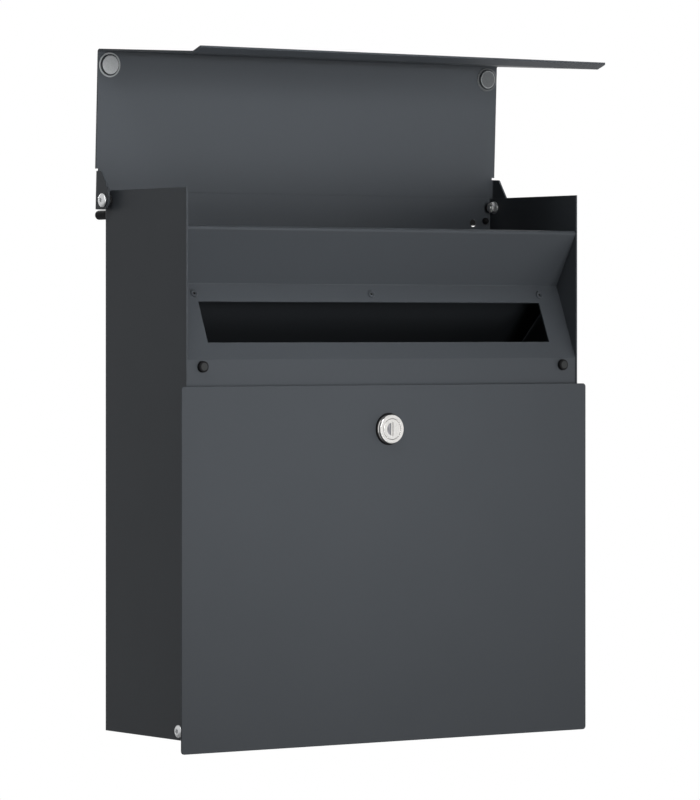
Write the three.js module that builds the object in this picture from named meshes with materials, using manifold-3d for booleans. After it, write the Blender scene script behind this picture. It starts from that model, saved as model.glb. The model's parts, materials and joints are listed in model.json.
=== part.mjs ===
// A wall mailbox in folded sheet steel: an open-topped housing, a slot panel set between its sides, a
// lid whose front hangs over the slot, and a door hinged at its foot with a cam lock.
// Millimetres, +Z up, the front toward -Y. The origin lies on the wall, on the centre line and level
// with the housing's lower edge. The lid stands open, and the door is closed with its cam turned aside.
import * as THREE from "three";
import { mergeVertices } from "three/addons/utils/BufferGeometryUtils.js";
import Module from "manifold-3d";

// Sheet steel and clearances
const SHEET = 1.25;
const LID_SHEET = 1.5;
const DOOR_SHEET = 1.5;
const SHELF_SHEET = 1;
const BEND_RADIUS = 1;
const FIT_GAP = 0.3;
const RUN_GAP = 0.3;
const SEAT_GAP = 0.2;
const SIDE_GAP = 0.6;
const OVERRUN = 4;

// Housing: back and sides in one sheet
const BODY_WIDTH = 366;
const BODY_DEPTH = 115;
const BODY_HEIGHT = 411;
const FOOT_CORNER_RADIUS = 4;
const FIXING_RADIUS = 3.25;
const FIXING_INSET = 17.6;
const FIXING_DROP = 20;
const FIXING_FOOT = 50;

// Wall spacers
const WALL_GAP = 18.5;
const SPACER_RADIUS = 3.6;
const SPACER_ROUND = 1.2;
const SPACER_INSET = 6;
const LOW_SPACER_INSET = 26;
const LOW_SPACER_FOOT = 24;
const SPACER_STEM_RADIUS = 1.8;
const SPACER_BARB = 1;
const SPACER_BARB_LENGTH = 3;

// Bottom tray
const TRAY_SET_BACK = 2.5;
const TRAY_LIP = 10;
const TRAY_FLANGE = 12;
const TRAY_FLANGE_START = 24;
const TRAY_FLANGE_WIDTH = 8;
const DRAIN_RADIUS = 3;
const DRAIN_SET_BACK = 14;
const DRAIN_INSET = 60;
const DRAIN_COUNT = 4;

// Slot panel: three facets between the sides
const PANEL_DROP = 28.1;
const PANEL_SET_BACK = 0.7;
const PANEL_NOSE = 2;
const UPPER_FACET_RISE = 43.1;
const LOWER_FACET_RISE = 56.8;
const RECESS_DEPTH = 24.6;
const UPRIGHT_SHOW = 20.1;
const UPRIGHT_TUCK = 15;
const TOP_RETURN = 12;
const LOWER_RETURN = 11;
const PANEL_TAB = 12;
const PANEL_TAB_RELIEF = 5;
const SLOT_END_MARGIN = 21.75;
const SLOT_FOOT = 13.65;
const SLOT_OPENING = 33.6;

// Newspaper shelf behind the slot
const SHELF_FRONT_FLANGE = 10;
const SHELF_TOP_GAP = 3;
const SHELF_REAR_FLANGE = 15;
const SHELF_SLOPE = 42.5;

// Blind rivets that hold the shelf to the slot panel
const RIVET_DROP = 8.1;
const RIVET_END_INSET = 19.75;
const RIVET_HEAD_RADIUS = 3.2;
const RIVET_HEAD_HEIGHT = 1.1;
const RIVET_BODY_RADIUS = 1.6;
const RIVET_BORE_RADIUS = 0.9;
const RIVET_BORE_DEPTH = 0.9;
const RIVET_TAIL_RADIUS = 2.2;
const RIVET_TAIL_LENGTH = 2.5;

// Rubber buffers under the lid's front
const BUFFER_RADIUS = 4.35;
const BUFFER_PROUD = 3;
const BUFFER_ROUND = 1;
const BUFFER_INSET = 14.5;
const BUFFER_DROP = 5.4;
const BUFFER_STEM_RADIUS = 1.7;
const BUFFER_BARB = 0.8;
const BUFFER_BARB_LENGTH = 2.5;

// Lid: roof, front cover, lip and two ears in one sheet
const LID_OPEN_ANGLE = 87.7;
const PIVOT_INSET = 7.8;
const PIVOT_DROP = 7.5;
const EAR_GAP = 4.6;
const LID_BACK_GAP = 3.3;
const LID_TAIL = 7.2;
const LID_CORNER_RADIUS = 1.5;
const COVER_GAP = 6.5;
const COVER_DRAW_IN = 3;
const COVER_DROP = 0.8;
const LIP_DROP = 10.2;
const LIP_KICK = 4;
const EAR_REACH = 22.2;
const EAR_END_WIDTH = 9.3;
const EAR_FLAT = 7.6;
const EAR_ROUND = 1.5;
const EAR_RELIEF = 1.7;
const STOP_GAP = 0.3;

// Clear pads under the lid's front corners
const PAD_RADIUS = 9.5;
const PAD_FACE_RADIUS = 7.3;
const PAD_RIM_HEIGHT = 0.5;
const PAD_HEIGHT = 1.8;
const PAD_FRONT_INSET = 10.5;
const PAD_SIDE_INSET = 10;

// Lid pivots
const PIVOT_SHANK_RADIUS = 2.5;
const PIVOT_HEAD_RADIUS = 5.25;
const PIVOT_HEAD_HEIGHT = 2.6;
const PIVOT_THREAD_END = 0.6;
const BUSH_RADIUS = 4;
const WASHER_RADIUS = 5;
const WASHER_SHEET = 1;
const NUT_FLATS = 8;
const NUT_HEIGHT = 3.4;
const NUT_COLLAR_RADIUS = 3.5;
const NUT_COLLAR_HEIGHT = 0.8;
const KEY_FLATS = 3;
const KEY_DEPTH = 1.6;
const SCREW_RIM_SHARE = 0.25;

// Door and its rails
const DOOR_OVERHANG = 6.05;
const DOOR_GAP = 1.6;
const DOOR_DROP = 9.5;
const DOOR_CORNER_RADIUS = 2.5;
const HINGE_SET_BACK = 10;
const HINGE_RISE = 6.7;
const RAIL_GAP = 1.75;
const RAIL_WELD_LEG = 16;
const RAIL_SHEET = 1.25;
const RAIL_FOOT = 17;
const LUG_RADIUS = 6;
const DOOR_TOP_GAP = 19;
const LOCK_RAIL_HEIGHT = 40;
const LOCK_RAIL_REACH = 12.5;
const DOOR_HEAD_RADIUS = 4.75;
const DOOR_HEAD_HEIGHT = 2.6;

// Cam lock
const LOCK_DROP = 33.6;
const LOCK_OFFSET = -1.2;
const GASKET_RADIUS = 12.3;
const GASKET_SHEET = 1.1;
const FACE_RADIUS = 11.1;
const FACE_HEIGHT = 3.4;
const FACE_CHAMFER = 0.7;
const COLLAR_HEIGHT = 1.1;
const COLLAR_STEP = 0.5;
const BARREL_RADIUS = 9.3;
const BARREL_FLATS = 16;
const BARREL_LENGTH = 16;
const PLUG_RADIUS = 6.2;
const PLUG_HEAD_RADIUS = 7.8;
const PLUG_HEAD_HEIGHT = 2.4;
const KEYWAY_WIDTH = 0.7;
const KEYWAY_HEIGHT = 10.9;
const KEYWAY_DEPTH = 9;
const KEYWAY_OFFSET = 0.6;
const SHUTTER_WIDTH = 3.7;
const SHUTTER_HEIGHT = 9.2;
const SHUTTER_OFFSET = 1;
const SHUTTER_DEPTH = 1.2;
const TANG_FLATS = 7;
const CAM_SHEET = 2;
const CAM_WIDTH = 13;
const CAM_LENGTH = 31;
const LOCK_NUT_FLATS = 23;
const LOCK_NUT_HEIGHT = 4;
const CAM_SCREW_FLATS = 7;
const CAM_SCREW_HEAD = 2.8;
const CAM_SCREW_RADIUS = 2;
const CAM_SCREW_LENGTH = 7;

// Facets to an arc of a fold, to half a drilled hole, to half a hole for the lock and to a turned piece
const FOLD_STEPS = 2;
const HOLE_STEPS = 6;
const LOCK_STEPS = 10;
const TURNED_STEPS = 20;
const MERGE_DISTANCE = 0.001;

// Places worked out from the sizes above
const SIDE = BODY_WIDTH / 2;
const INNER_SIDE = SIDE - SHEET;
const INNER_BACK = BODY_DEPTH - SHEET;
const PANEL_TOP = BODY_HEIGHT - PANEL_DROP;
const UPPER_CREASE = PANEL_TOP - UPPER_FACET_RISE;
const LOWER_CREASE = UPPER_CREASE - LOWER_FACET_RISE;
const DOOR_TOP = LOWER_CREASE - UPRIGHT_SHOW;
const PANEL_FOOT = DOOR_TOP - UPRIGHT_TUCK;
const PIVOT_Y = BODY_DEPTH - PIVOT_INSET;
const PIVOT_Z = BODY_HEIGHT - PIVOT_DROP;
const LID_RISE = PIVOT_INSET + LID_BACK_GAP;
const LID_TOP = LID_RISE + LID_SHEET;
const LID_SIDE = SIDE + EAR_GAP + LID_SHEET;
const LID_LEAN = THREE.MathUtils.degToRad(LID_OPEN_ANGLE);
const LID_FRONT = PIVOT_Y + COVER_GAP;
const LID_EDGE_Z = PIVOT_Z - LID_TAIL * Math.sin(LID_LEAN) + LID_RISE * Math.cos(LID_LEAN);
const SHELF_FACE = SHEET + SEAT_GAP;
const SPACER_Z = LID_EDGE_Z - STOP_GAP - SPACER_RADIUS;
const DOOR_SIDE = SIDE + DOOR_OVERHANG;
const DOOR_FACE = DOOR_GAP + DOOR_SHEET;
const RAIL_SIDE = INNER_SIDE - RAIL_GAP;
const RAIL_TOP = DOOR_TOP - DOOR_TOP_GAP;

// Unit directions
const X = new THREE.Vector3(1, 0, 0);
const Y = new THREE.Vector3(0, 1, 0);
const Z = new THREE.Vector3(0, 0, 1);

const finishes = {
  coat: { color: 0x3b4045, roughness: 0.55, metalness: 0.2 },
  zinc: { color: 0xb9bbbd, roughness: 0.35, metalness: 0.9 },
  nickel: { color: 0xd0cfcb, roughness: 0.25, metalness: 1 },
  rubber: { color: 0x141516, roughness: 0.75, metalness: 0 },
  clear: { color: 0x9a9ea2, roughness: 0.3, metalness: 0 },
  nylon: { color: 0x1c1d1e, roughness: 0.5, metalness: 0 },
};

const wasm = await Module();
wasm.setup();

// Solids and meshes
function solidOf(geometry) {
  const bare = geometry.index ? geometry.toNonIndexed() : geometry.clone();
  bare.deleteAttribute("normal");
  bare.deleteAttribute("uv");
  const merged = mergeVertices(bare, MERGE_DISTANCE);
  const corners = Array.from(merged.index.array);
  const kept = [];
  for (let i = 0; i < corners.length; i += 3) {
    const [a, b, c] = corners.slice(i, i + 3);
    if (a !== b && b !== c && c !== a) kept.push(a, b, c);
  }
  const vertProperties = merged.attributes.position.array;
  return new wasm.Manifold(new wasm.Mesh({ numProp: 3, vertProperties, triVerts: new Uint32Array(kept) }));
}

function join(first, ...others) {
  return others.reduce((whole, geometry) => whole.add(solidOf(geometry)), solidOf(first));
}

function cut(solid, ...tools) {
  return tools.reduce((left, geometry) => left.subtract(solidOf(geometry)), solid);
}

function meshOf(name, solid, finish) {
  const made = solid.getMesh();
  const geometry = new THREE.BufferGeometry();
  geometry.setAttribute("position", new THREE.BufferAttribute(new Float32Array(made.vertProperties), 3));
  geometry.setIndex(new THREE.BufferAttribute(made.triVerts, 1));
  const mesh = new THREE.Mesh(geometry, new THREE.MeshStandardMaterial(finishes[finish]));
  mesh.name = name;
  return mesh;
}

// Outlines
function point(a, b) {
  return new THREE.Vector2(a, b);
}

function outlineOf(corners) {
  return new THREE.Shape(corners);
}

function mirrored(corners) {
  return corners.map((corner) => point(-corner.x, corner.y)).reverse();
}

function leftOf(heading) {
  return point(-heading.y, heading.x);
}

function discOf(radius, centre = point(0, 0)) {
  return new THREE.Shape().absarc(centre.x, centre.y, radius, 0, 2 * Math.PI, false);
}

function ringOf(outer, inner) {
  const ring = discOf(outer);
  ring.holes.push(discOf(inner));
  return ring;
}

function hexOf(flats) {
  const reach = flats / Math.sqrt(3);
  const corners = Array.from({ length: 6 }, (_, i) => (i * Math.PI) / 3);
  return outlineOf(corners.map((angle) => point(reach * Math.cos(angle), reach * Math.sin(angle))));
}

function blockOf(left, right, low, high) {
  return outlineOf([point(left, low), point(right, low), point(right, high), point(left, high)]);
}

// A plate with round corners
function plateOf(left, right, low, high, radius) {
  const plate = new THREE.Shape();
  plate.absarc(right - radius, low + radius, radius, -Math.PI / 2, 0, false);
  plate.absarc(right - radius, high - radius, radius, 0, Math.PI / 2, false);
  plate.absarc(left + radius, high - radius, radius, Math.PI / 2, Math.PI, false);
  plate.absarc(left + radius, low + radius, radius, Math.PI, 1.5 * Math.PI, false);
  plate.closePath();
  return plate;
}

// A round bar flattened on both sides, as on the barrel of a cam lock and in the holes for it
function flattedDisc(radius, flats) {
  const flatAngle = Math.asin(flats / 2 / radius);
  const outline = new THREE.Shape();
  outline.absarc(0, 0, radius, -flatAngle, flatAngle, false);
  outline.absarc(0, 0, radius, Math.PI - flatAngle, Math.PI + flatAngle, false);
  outline.closePath();
  return outline;
}

// A sheet folded along straight lines, seen edge on. The corners are the sharp meeting points of one
// face, and the sheet lies to the left of the walk from the first corner to the last.
function foldedSheet(corners, thickness) {
  const headings = corners.slice(1).map((corner, i) => corner.clone().sub(corners[i]).normalize());
  const folds = headings.slice(1).map((next, i) => {
    const before = headings[i];
    const turn = Math.sign(before.cross(next));
    const reach = turn > 0 ? thickness + BEND_RADIUS : -BEND_RADIUS;
    const setBack = Math.abs(reach) * Math.tan(Math.acos(before.dot(next)) / 2);
    const centre = corners[i + 1].clone().addScaledVector(before, -setBack).addScaledVector(leftOf(before), reach);
    return {
      centre,
      turn,
      reach,
      start: leftOf(before).multiplyScalar(-turn).angle(),
      end: leftOf(next).multiplyScalar(-turn).angle(),
    };
  });
  const firstBack = corners[0].clone().addScaledVector(leftOf(headings[0]), thickness);
  const outline = new THREE.Shape().moveTo(firstBack.x, firstBack.y);
  outline.lineTo(corners[0].x, corners[0].y);
  for (const { centre, turn, reach, start, end } of folds) {
    outline.absarc(centre.x, centre.y, Math.abs(reach), start, end, turn < 0);
  }
  const last = corners.at(-1);
  outline.lineTo(last.x, last.y);
  const lastBack = last.clone().addScaledVector(leftOf(headings.at(-1)), thickness);
  outline.lineTo(lastBack.x, lastBack.y);
  for (const { centre, turn, reach, start, end } of folds.reverse()) {
    outline.absarc(centre.x, centre.y, Math.abs(reach - thickness), end, start, turn > 0);
  }
  outline.closePath();
  return outline;
}

// Extrusions of an outline along one direction of the mailbox
function extruded(outline, from, to, steps) {
  const settings = { depth: to - from, bevelEnabled: false, curveSegments: steps };
  return new THREE.ExtrudeGeometry(outline, settings).translate(0, 0, from);
}

function upward(outline, low, high, steps = FOLD_STEPS) {
  return extruded(outline, low, high, steps);
}

function sideways(outline, left, right, steps = FOLD_STEPS) {
  return extruded(outline, left, right, steps).applyMatrix4(new THREE.Matrix4().makeBasis(Y, Z, X));
}

function backward(outline, front, back, steps = HOLE_STEPS) {
  const toBack = new THREE.Matrix4().makeBasis(X, Z, Y.clone().negate());
  return extruded(outline, -back, -front, steps).applyMatrix4(toBack);
}

// Turned pieces: the profile holds radius and place along the axis, first along Y, then along X
function turned(profile) {
  return new THREE.LatheGeometry(profile.map(([radius, along]) => point(radius, along)), TURNED_STEPS);
}

function turnedSideways(profile) {
  return turned(profile).rotateZ(-Math.PI / 2);
}

// Profile points of a dome from its rim to its crown, for the turned heads of screws
function dome(radius, base, height, steps = 3) {
  return Array.from({ length: steps + 1 }, (_, i) => {
    const angle = (i / steps) * (Math.PI / 2);
    return [radius * Math.cos(angle), base + height * Math.sin(angle)];
  });
}

function placed(group, x, y, z) {
  group.position.set(x, y, z);
  return group;
}

// Back and sides, folded from one sheet, with the holes for the pivots, spacers and wall screws
function housingShell() {
  const walls = [point(SIDE, 0), point(SIDE, BODY_DEPTH), point(-SIDE, BODY_DEPTH), point(-SIDE, 0)];
  const shell = solidOf(upward(foldedSheet(walls, SHEET), 0, BODY_HEIGHT));
  const footCorner = new THREE.Shape().moveTo(-OVERRUN, -OVERRUN);
  footCorner.lineTo(FOOT_CORNER_RADIUS, -OVERRUN);
  footCorner.absarc(FOOT_CORNER_RADIUS, FOOT_CORNER_RADIUS, FOOT_CORNER_RADIUS, -Math.PI / 2, Math.PI, true);
  footCorner.lineTo(-OVERRUN, FOOT_CORNER_RADIUS);
  footCorner.closePath();
  const hole = PIVOT_SHANK_RADIUS + FIT_GAP;
  const across = [-SIDE - OVERRUN, SIDE + OVERRUN];
  const lidHoles = sideways(discOf(hole, point(PIVOT_Y, PIVOT_Z)), ...across, HOLE_STEPS);
  const doorHoles = sideways(discOf(hole, point(HINGE_SET_BACK, HINGE_RISE)), ...across, HOLE_STEPS);
  const stem = SPACER_STEM_RADIUS + FIT_GAP;
  const backHoles = [...spacerPlaces().map(({ x, z }) => discOf(stem, point(x, z))), ...fixingPlaces()];
  const throughBack = backHoles.map((disc) => backward(disc, INNER_BACK - OVERRUN, BODY_DEPTH + OVERRUN));
  const corners = sideways(footCorner, ...across, HOLE_STEPS);
  return meshOf("housing_shell", cut(shell, corners, lidHoles, doorHoles, ...throughBack), "coat");
}

function fixingPlaces() {
  const sides = [-SIDE + FIXING_INSET, SIDE - FIXING_INSET];
  const levels = [FIXING_FOOT, BODY_HEIGHT - FIXING_DROP];
  return sides.flatMap((x) => levels.map((z) => discOf(FIXING_RADIUS, point(x, z))));
}

function spacerPlaces() {
  return [
    { name: "wall_spacer_upper_left", x: -SIDE + SPACER_INSET, z: SPACER_Z },
    { name: "wall_spacer_upper_right", x: SIDE - SPACER_INSET, z: SPACER_Z },
    { name: "wall_spacer_lower_left", x: -SIDE + LOW_SPACER_INSET, z: LOW_SPACER_FOOT },
    { name: "wall_spacer_lower_right", x: SIDE - LOW_SPACER_INSET, z: LOW_SPACER_FOOT },
  ];
}

// A rubber spacer pushed into the back from behind, held by a barb inside
function wallSpacer({ name, x, z }) {
  const inside = INNER_BACK - SEAT_GAP;
  const wall = BODY_DEPTH + WALL_GAP;
  const spacer = turned([
    [0, inside - SPACER_BARB_LENGTH],
    [SPACER_STEM_RADIUS, inside - SPACER_BARB_LENGTH],
    [SPACER_STEM_RADIUS + SPACER_BARB, inside - SPACER_BARB_LENGTH / 2],
    [SPACER_STEM_RADIUS + SPACER_BARB, inside],
    [SPACER_STEM_RADIUS, inside],
    [SPACER_STEM_RADIUS, BODY_DEPTH],
    [SPACER_RADIUS, BODY_DEPTH],
    ...dome(SPACER_ROUND, wall - SPACER_ROUND, SPACER_ROUND).map(([out, y]) => [
      SPACER_RADIUS - SPACER_ROUND + out,
      y,
    ]),
    [0, wall],
  ]);
  return placed(meshOf(name, solidOf(spacer), "rubber"), x, 0, z);
}

// Floor of the housing, with a lip in front, flanges round the rest and drain holes
function bottomTray() {
  const section = [
    point(TRAY_SET_BACK, TRAY_LIP),
    point(TRAY_SET_BACK, 0),
    point(INNER_BACK, 0),
    point(INNER_BACK, TRAY_FLANGE),
  ];
  const edge = INNER_SIDE - SHEET - BEND_RADIUS;
  const floor = sideways(foldedSheet(section, SHEET), -edge, edge);
  const rearFold = SHEET + BEND_RADIUS;
  const flange = [
    point(edge - TRAY_FLANGE_WIDTH, 0),
    point(INNER_SIDE, 0),
    point(INNER_SIDE, TRAY_FLANGE),
  ];
  const flanges = [flange, mirrored(flange)].map((corners) =>
    backward(foldedSheet(corners, SHEET), TRAY_FLANGE_START, INNER_BACK - rearFold, FOLD_STEPS),
  );
  const hingeRoom = RAIL_SIDE - RAIL_SHEET - NUT_HEIGHT;
  const roomBack = HINGE_SET_BACK + LUG_RADIUS + RUN_GAP;
  const notches = [-1, 1].map((side) => {
    const [near, far] = [side * hingeRoom, side * (SIDE + OVERRUN)].sort((a, b) => a - b);
    return upward(blockOf(near, far, -OVERRUN, roomBack), -OVERRUN, TRAY_LIP + OVERRUN);
  });
  const pitch = (2 * (INNER_SIDE - DRAIN_INSET)) / (DRAIN_COUNT - 1);
  const drains = Array.from({ length: DRAIN_COUNT }, (_, i) =>
    upward(
      discOf(DRAIN_RADIUS, point(DRAIN_INSET - INNER_SIDE + i * pitch, TRAY_SET_BACK + DRAIN_SET_BACK)),
      -OVERRUN,
      SHEET + OVERRUN,
      HOLE_STEPS,
    ),
  );
  return meshOf("bottom_tray", cut(join(floor, ...flanges), ...notches, ...drains), "coat");
}

// The lower facet of the slot panel: its foot, its slope and the way square to it, into the housing
const facetFoot = point(PANEL_SET_BACK, LOWER_CREASE);
const facetHead = point(PANEL_SET_BACK + RECESS_DEPTH, UPPER_CREASE);
const facetUp = facetHead.clone().sub(facetFoot).normalize();
const facetIn = leftOf(facetUp).negate();
const facetLength = facetHead.distanceTo(facetFoot);

// A place on the lower facet, from its foot upward and from its face inward
function onFacet(up, inward = 0) {
  return facetFoot.clone().addScaledVector(facetUp, up).addScaledVector(facetIn, inward);
}

// The folded panel with the letter slot. Its top edge is turned back, and its foot is turned back to
// make the keeper that the lock's cam swings up behind.
function slotPanel() {
  const nose = point(PANEL_SET_BACK - PANEL_NOSE, PANEL_TOP);
  const upright = point(PANEL_SET_BACK, PANEL_FOOT);
  const section = [
    point(nose.x + TOP_RETURN, PANEL_TOP),
    nose,
    facetHead,
    facetFoot,
    upright,
    point(PANEL_SET_BACK + LOWER_RETURN, PANEL_FOOT),
  ];
  const sheet = sideways(foldedSheet(section, SHEET), -INNER_SIDE, INNER_SIDE);
  const tabs = [
    [nose, facetHead],
    [facetHead, facetFoot],
    [facetFoot, upright],
  ].flatMap(([from, to]) => facetTabs(from, to));
  const slotEnd = INNER_SIDE - SLOT_END_MARGIN;
  const slot = outlineOf([
    onFacet(SLOT_FOOT, -OVERRUN),
    onFacet(SLOT_FOOT, SHEET + OVERRUN),
    onFacet(SLOT_FOOT + SLOT_OPENING, SHEET + OVERRUN),
    onFacet(SLOT_FOOT + SLOT_OPENING, -OVERRUN),
  ]);
  const bufferHoles = bufferPlaces().map(({ x, z }) =>
    backward(discOf(BUFFER_STEM_RADIUS + FIT_GAP, point(x, z)), -OVERRUN, PANEL_SET_BACK + SHEET + OVERRUN),
  );
  const cuts = [sideways(slot, -slotEnd, slotEnd), ...rivetHoles(), ...bufferHoles];
  return meshOf("slot_panel", cut(join(sheet, ...tabs), ...cuts), "coat");
}

// The tabs at both ends of one facet, turned back along the sides of the housing
function facetTabs(from, to) {
  const heading = to.clone().sub(from).normalize();
  const inward = leftOf(heading);
  const corner = (base, along, depth) =>
    base.clone().addScaledVector(heading, along).addScaledVector(inward, depth);
  const tab = outlineOf([
    corner(from, PANEL_TAB_RELIEF, SHEET / 2),
    corner(to, -PANEL_TAB_RELIEF, SHEET / 2),
    corner(to, -PANEL_TAB, PANEL_TAB),
    corner(from, PANEL_TAB, PANEL_TAB),
  ]);
  return [sideways(tab, -INNER_SIDE, SHEET - INNER_SIDE), sideways(tab, INNER_SIDE - SHEET, INNER_SIDE)];
}

function rivetPlaces() {
  const end = INNER_SIDE - RIVET_END_INSET;
  return [
    { name: "slot_rivet_left", x: -end },
    { name: "slot_rivet_centre", x: 0 },
    { name: "slot_rivet_right", x: end },
  ];
}

// Places a piece made along Y, its face at zero, square to the lower facet
function squareToFacet(piece, x, up) {
  const { x: y, y: z } = onFacet(up);
  piece.rotation.x = Math.atan2(facetIn.y, facetIn.x);
  return placed(piece, x, y, z);
}

function rivetHoles() {
  const up = facetLength - RIVET_DROP;
  return rivetPlaces().map(({ x }) => {
    const drill = new THREE.Object3D();
    squareToFacet(drill, x, up).updateMatrix();
    const disc = discOf(RIVET_BODY_RADIUS + FIT_GAP);
    return backward(disc, -OVERRUN, SHELF_FACE + SHELF_SHEET + OVERRUN).applyMatrix4(drill.matrix);
  });
}

// A blind rivet with a hollow, dished head outside and its upset tail inside
function slotRivet({ name, x }) {
  const behind = SHELF_FACE + SHELF_SHEET + SEAT_GAP;
  const rivet = turned([
    [0, RIVET_BORE_DEPTH - RIVET_HEAD_HEIGHT],
    [RIVET_BORE_RADIUS, RIVET_BORE_DEPTH - RIVET_HEAD_HEIGHT],
    [RIVET_BORE_RADIUS, -RIVET_HEAD_HEIGHT],
    [RIVET_BODY_RADIUS, -RIVET_HEAD_HEIGHT],
    [RIVET_HEAD_RADIUS, -SEAT_GAP - SEAT_GAP],
    [RIVET_HEAD_RADIUS, -SEAT_GAP],
    [RIVET_BODY_RADIUS, -SEAT_GAP],
    [RIVET_BODY_RADIUS, behind],
    [RIVET_TAIL_RADIUS, behind],
    [RIVET_TAIL_RADIUS, behind + RIVET_TAIL_LENGTH / 2],
    [RIVET_BORE_RADIUS, behind + RIVET_TAIL_LENGTH],
    [0, behind + RIVET_TAIL_LENGTH],
  ]);
  return squareToFacet(meshOf(name, solidOf(rivet), "coat"), x, facetLength - RIVET_DROP);
}

// The sloping sheet that newspapers stand on and that turns letters from the slot downward
function newspaperShelf() {
  const fold = onFacet(facetLength - SHELF_TOP_GAP, SHELF_FACE);
  const drop = (INNER_BACK - fold.x) * Math.tan(THREE.MathUtils.degToRad(SHELF_SLOPE));
  const rear = point(INNER_BACK, fold.y - drop);
  const section = [
    point(INNER_BACK, rear.y - SHELF_REAR_FLANGE),
    rear,
    fold,
    onFacet(facetLength - SHELF_TOP_GAP - SHELF_FRONT_FLANGE, SHELF_FACE),
  ];
  const end = INNER_SIDE - SHEET - SIDE_GAP;
  const shelf = solidOf(sideways(foldedSheet(section, SHELF_SHEET), -end, end));
  return meshOf("newspaper_shelf", cut(shelf, ...rivetHoles()), "coat");
}

function bufferPlaces() {
  const z = LOWER_CREASE - BUFFER_DROP;
  return [
    { name: "lid_buffer_left", x: -SIDE + BUFFER_INSET, z },
    { name: "lid_buffer_right", x: SIDE - BUFFER_INSET, z },
  ];
}

// A rubber buffer that the lid's front closes on, pushed into the slot panel
function lidBuffer({ name, x, z }) {
  const behind = SHEET + SEAT_GAP;
  const buffer = turned([
    [0, -BUFFER_PROUD],
    ...dome(BUFFER_ROUND, 0, BUFFER_ROUND)
      .reverse()
      .map(([out, along]) => [BUFFER_RADIUS - BUFFER_ROUND + out, BUFFER_ROUND - BUFFER_PROUD - along]),
    [BUFFER_RADIUS, 0],
    [BUFFER_STEM_RADIUS, 0],
    [BUFFER_STEM_RADIUS, behind],
    [BUFFER_STEM_RADIUS + BUFFER_BARB, behind],
    [BUFFER_STEM_RADIUS, behind + BUFFER_BARB_LENGTH],
    [0, behind + BUFFER_BARB_LENGTH],
  ]);
  return placed(meshOf(name, solidOf(buffer), "rubber"), x, PANEL_SET_BACK, z);
}

// Lid, level and closed, with its pivot at zero: roof, front cover and lip, with an ear at each side
function lidPanel() {
  const coverFoot = point(COVER_DRAW_IN - LID_FRONT, LOWER_CREASE - COVER_DROP - PIVOT_Z);
  const section = [
    point(coverFoot.x - LIP_KICK, coverFoot.y - LIP_DROP),
    coverFoot,
    point(-LID_FRONT, LID_RISE),
    point(LID_TAIL, LID_RISE),
  ];
  const sheet = sideways(foldedSheet(section, LID_SHEET), -LID_SIDE, LID_SIDE);
  const foldZone = LID_SIDE - LID_SHEET - BEND_RADIUS;
  const notchFront = -EAR_REACH - EAR_RELIEF;
  const notches = [-1, 1].map((side) => {
    const [near, far] = [side * foldZone, side * (LID_SIDE + OVERRUN)].sort((a, b) => a - b);
    return upward(blockOf(near, far, notchFront, LID_TAIL + OVERRUN), LID_RISE - OVERRUN, LID_TOP + OVERRUN);
  });
  const ears = [lidEar(false), lidEar(true)];
  const roof = cut(solidOf(sheet), ...notches, ...lidCorners());
  return meshOf("lid_panel", ears.reduce((lid, ear) => lid.add(ear), roof), "coat");
}

// Cuts that round the lid's two front corners, seen from above, through the lip and the cover's end
function lidCorners() {
  const radius = LID_CORNER_RADIUS;
  const low = LOWER_CREASE - COVER_DROP - LIP_DROP - PIVOT_Z;
  return [-1, 1].map((side) => {
    const corner = new THREE.Shape().moveTo(side * (LID_SIDE + OVERRUN), low - OVERRUN);
    corner.lineTo(side * (LID_SIDE - radius), low - OVERRUN);
    const [start, end] = side > 0 ? [1.5 * Math.PI, 2 * Math.PI] : [1.5 * Math.PI, Math.PI];
    corner.absarc(side * (LID_SIDE - radius), low + radius, radius, start, end, side < 0);
    corner.lineTo(side * (LID_SIDE + OVERRUN), low + radius);
    corner.closePath();
    return backward(corner, -LID_FRONT - LIP_KICK - OVERRUN, -LID_FRONT + LIP_KICK + OVERRUN);
  });
}

// One ear: a fold at the roof's edge, trimmed to a plate that tapers from its round end at the pivot
function lidEar(onLeft) {
  const fold = [
    point(LID_SIDE, -LID_TAIL - OVERRUN),
    point(LID_SIDE, LID_TOP),
    point(LID_SIDE - LID_SHEET - BEND_RADIUS - EAR_GAP, LID_TOP),
  ];
  const strip = backward(foldedSheet(onLeft ? mirrored(fold) : fold, LID_SHEET), -EAR_REACH, LID_TAIL, FOLD_STEPS);
  const plate = new THREE.Shape().moveTo(-EAR_REACH, LID_TOP + OVERRUN);
  plate.lineTo(LID_TAIL, LID_TOP + OVERRUN);
  plate.absarc(0, 0, LID_TAIL, 0, -Math.PI / 2, true);
  plate.lineTo(-EAR_FLAT, -LID_TAIL);
  const tip = point(-EAR_REACH, LID_TOP - EAR_END_WIDTH);
  plate.lineTo(tip.x + EAR_ROUND, tip.y - EAR_ROUND / 2);
  plate.quadraticCurveTo(tip.x, tip.y, tip.x, tip.y + EAR_ROUND);
  plate.closePath();
  const across = onLeft ? [-LID_SIDE - OVERRUN, -SIDE] : [SIDE, LID_SIDE + OVERRUN];
  const trimmed = solidOf(strip).intersect(solidOf(sideways(plate, ...across, HOLE_STEPS)));
  const hole = discOf(PIVOT_SHANK_RADIUS + FIT_GAP);
  return cut(trimmed, sideways(hole, ...across, HOLE_STEPS));
}

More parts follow.
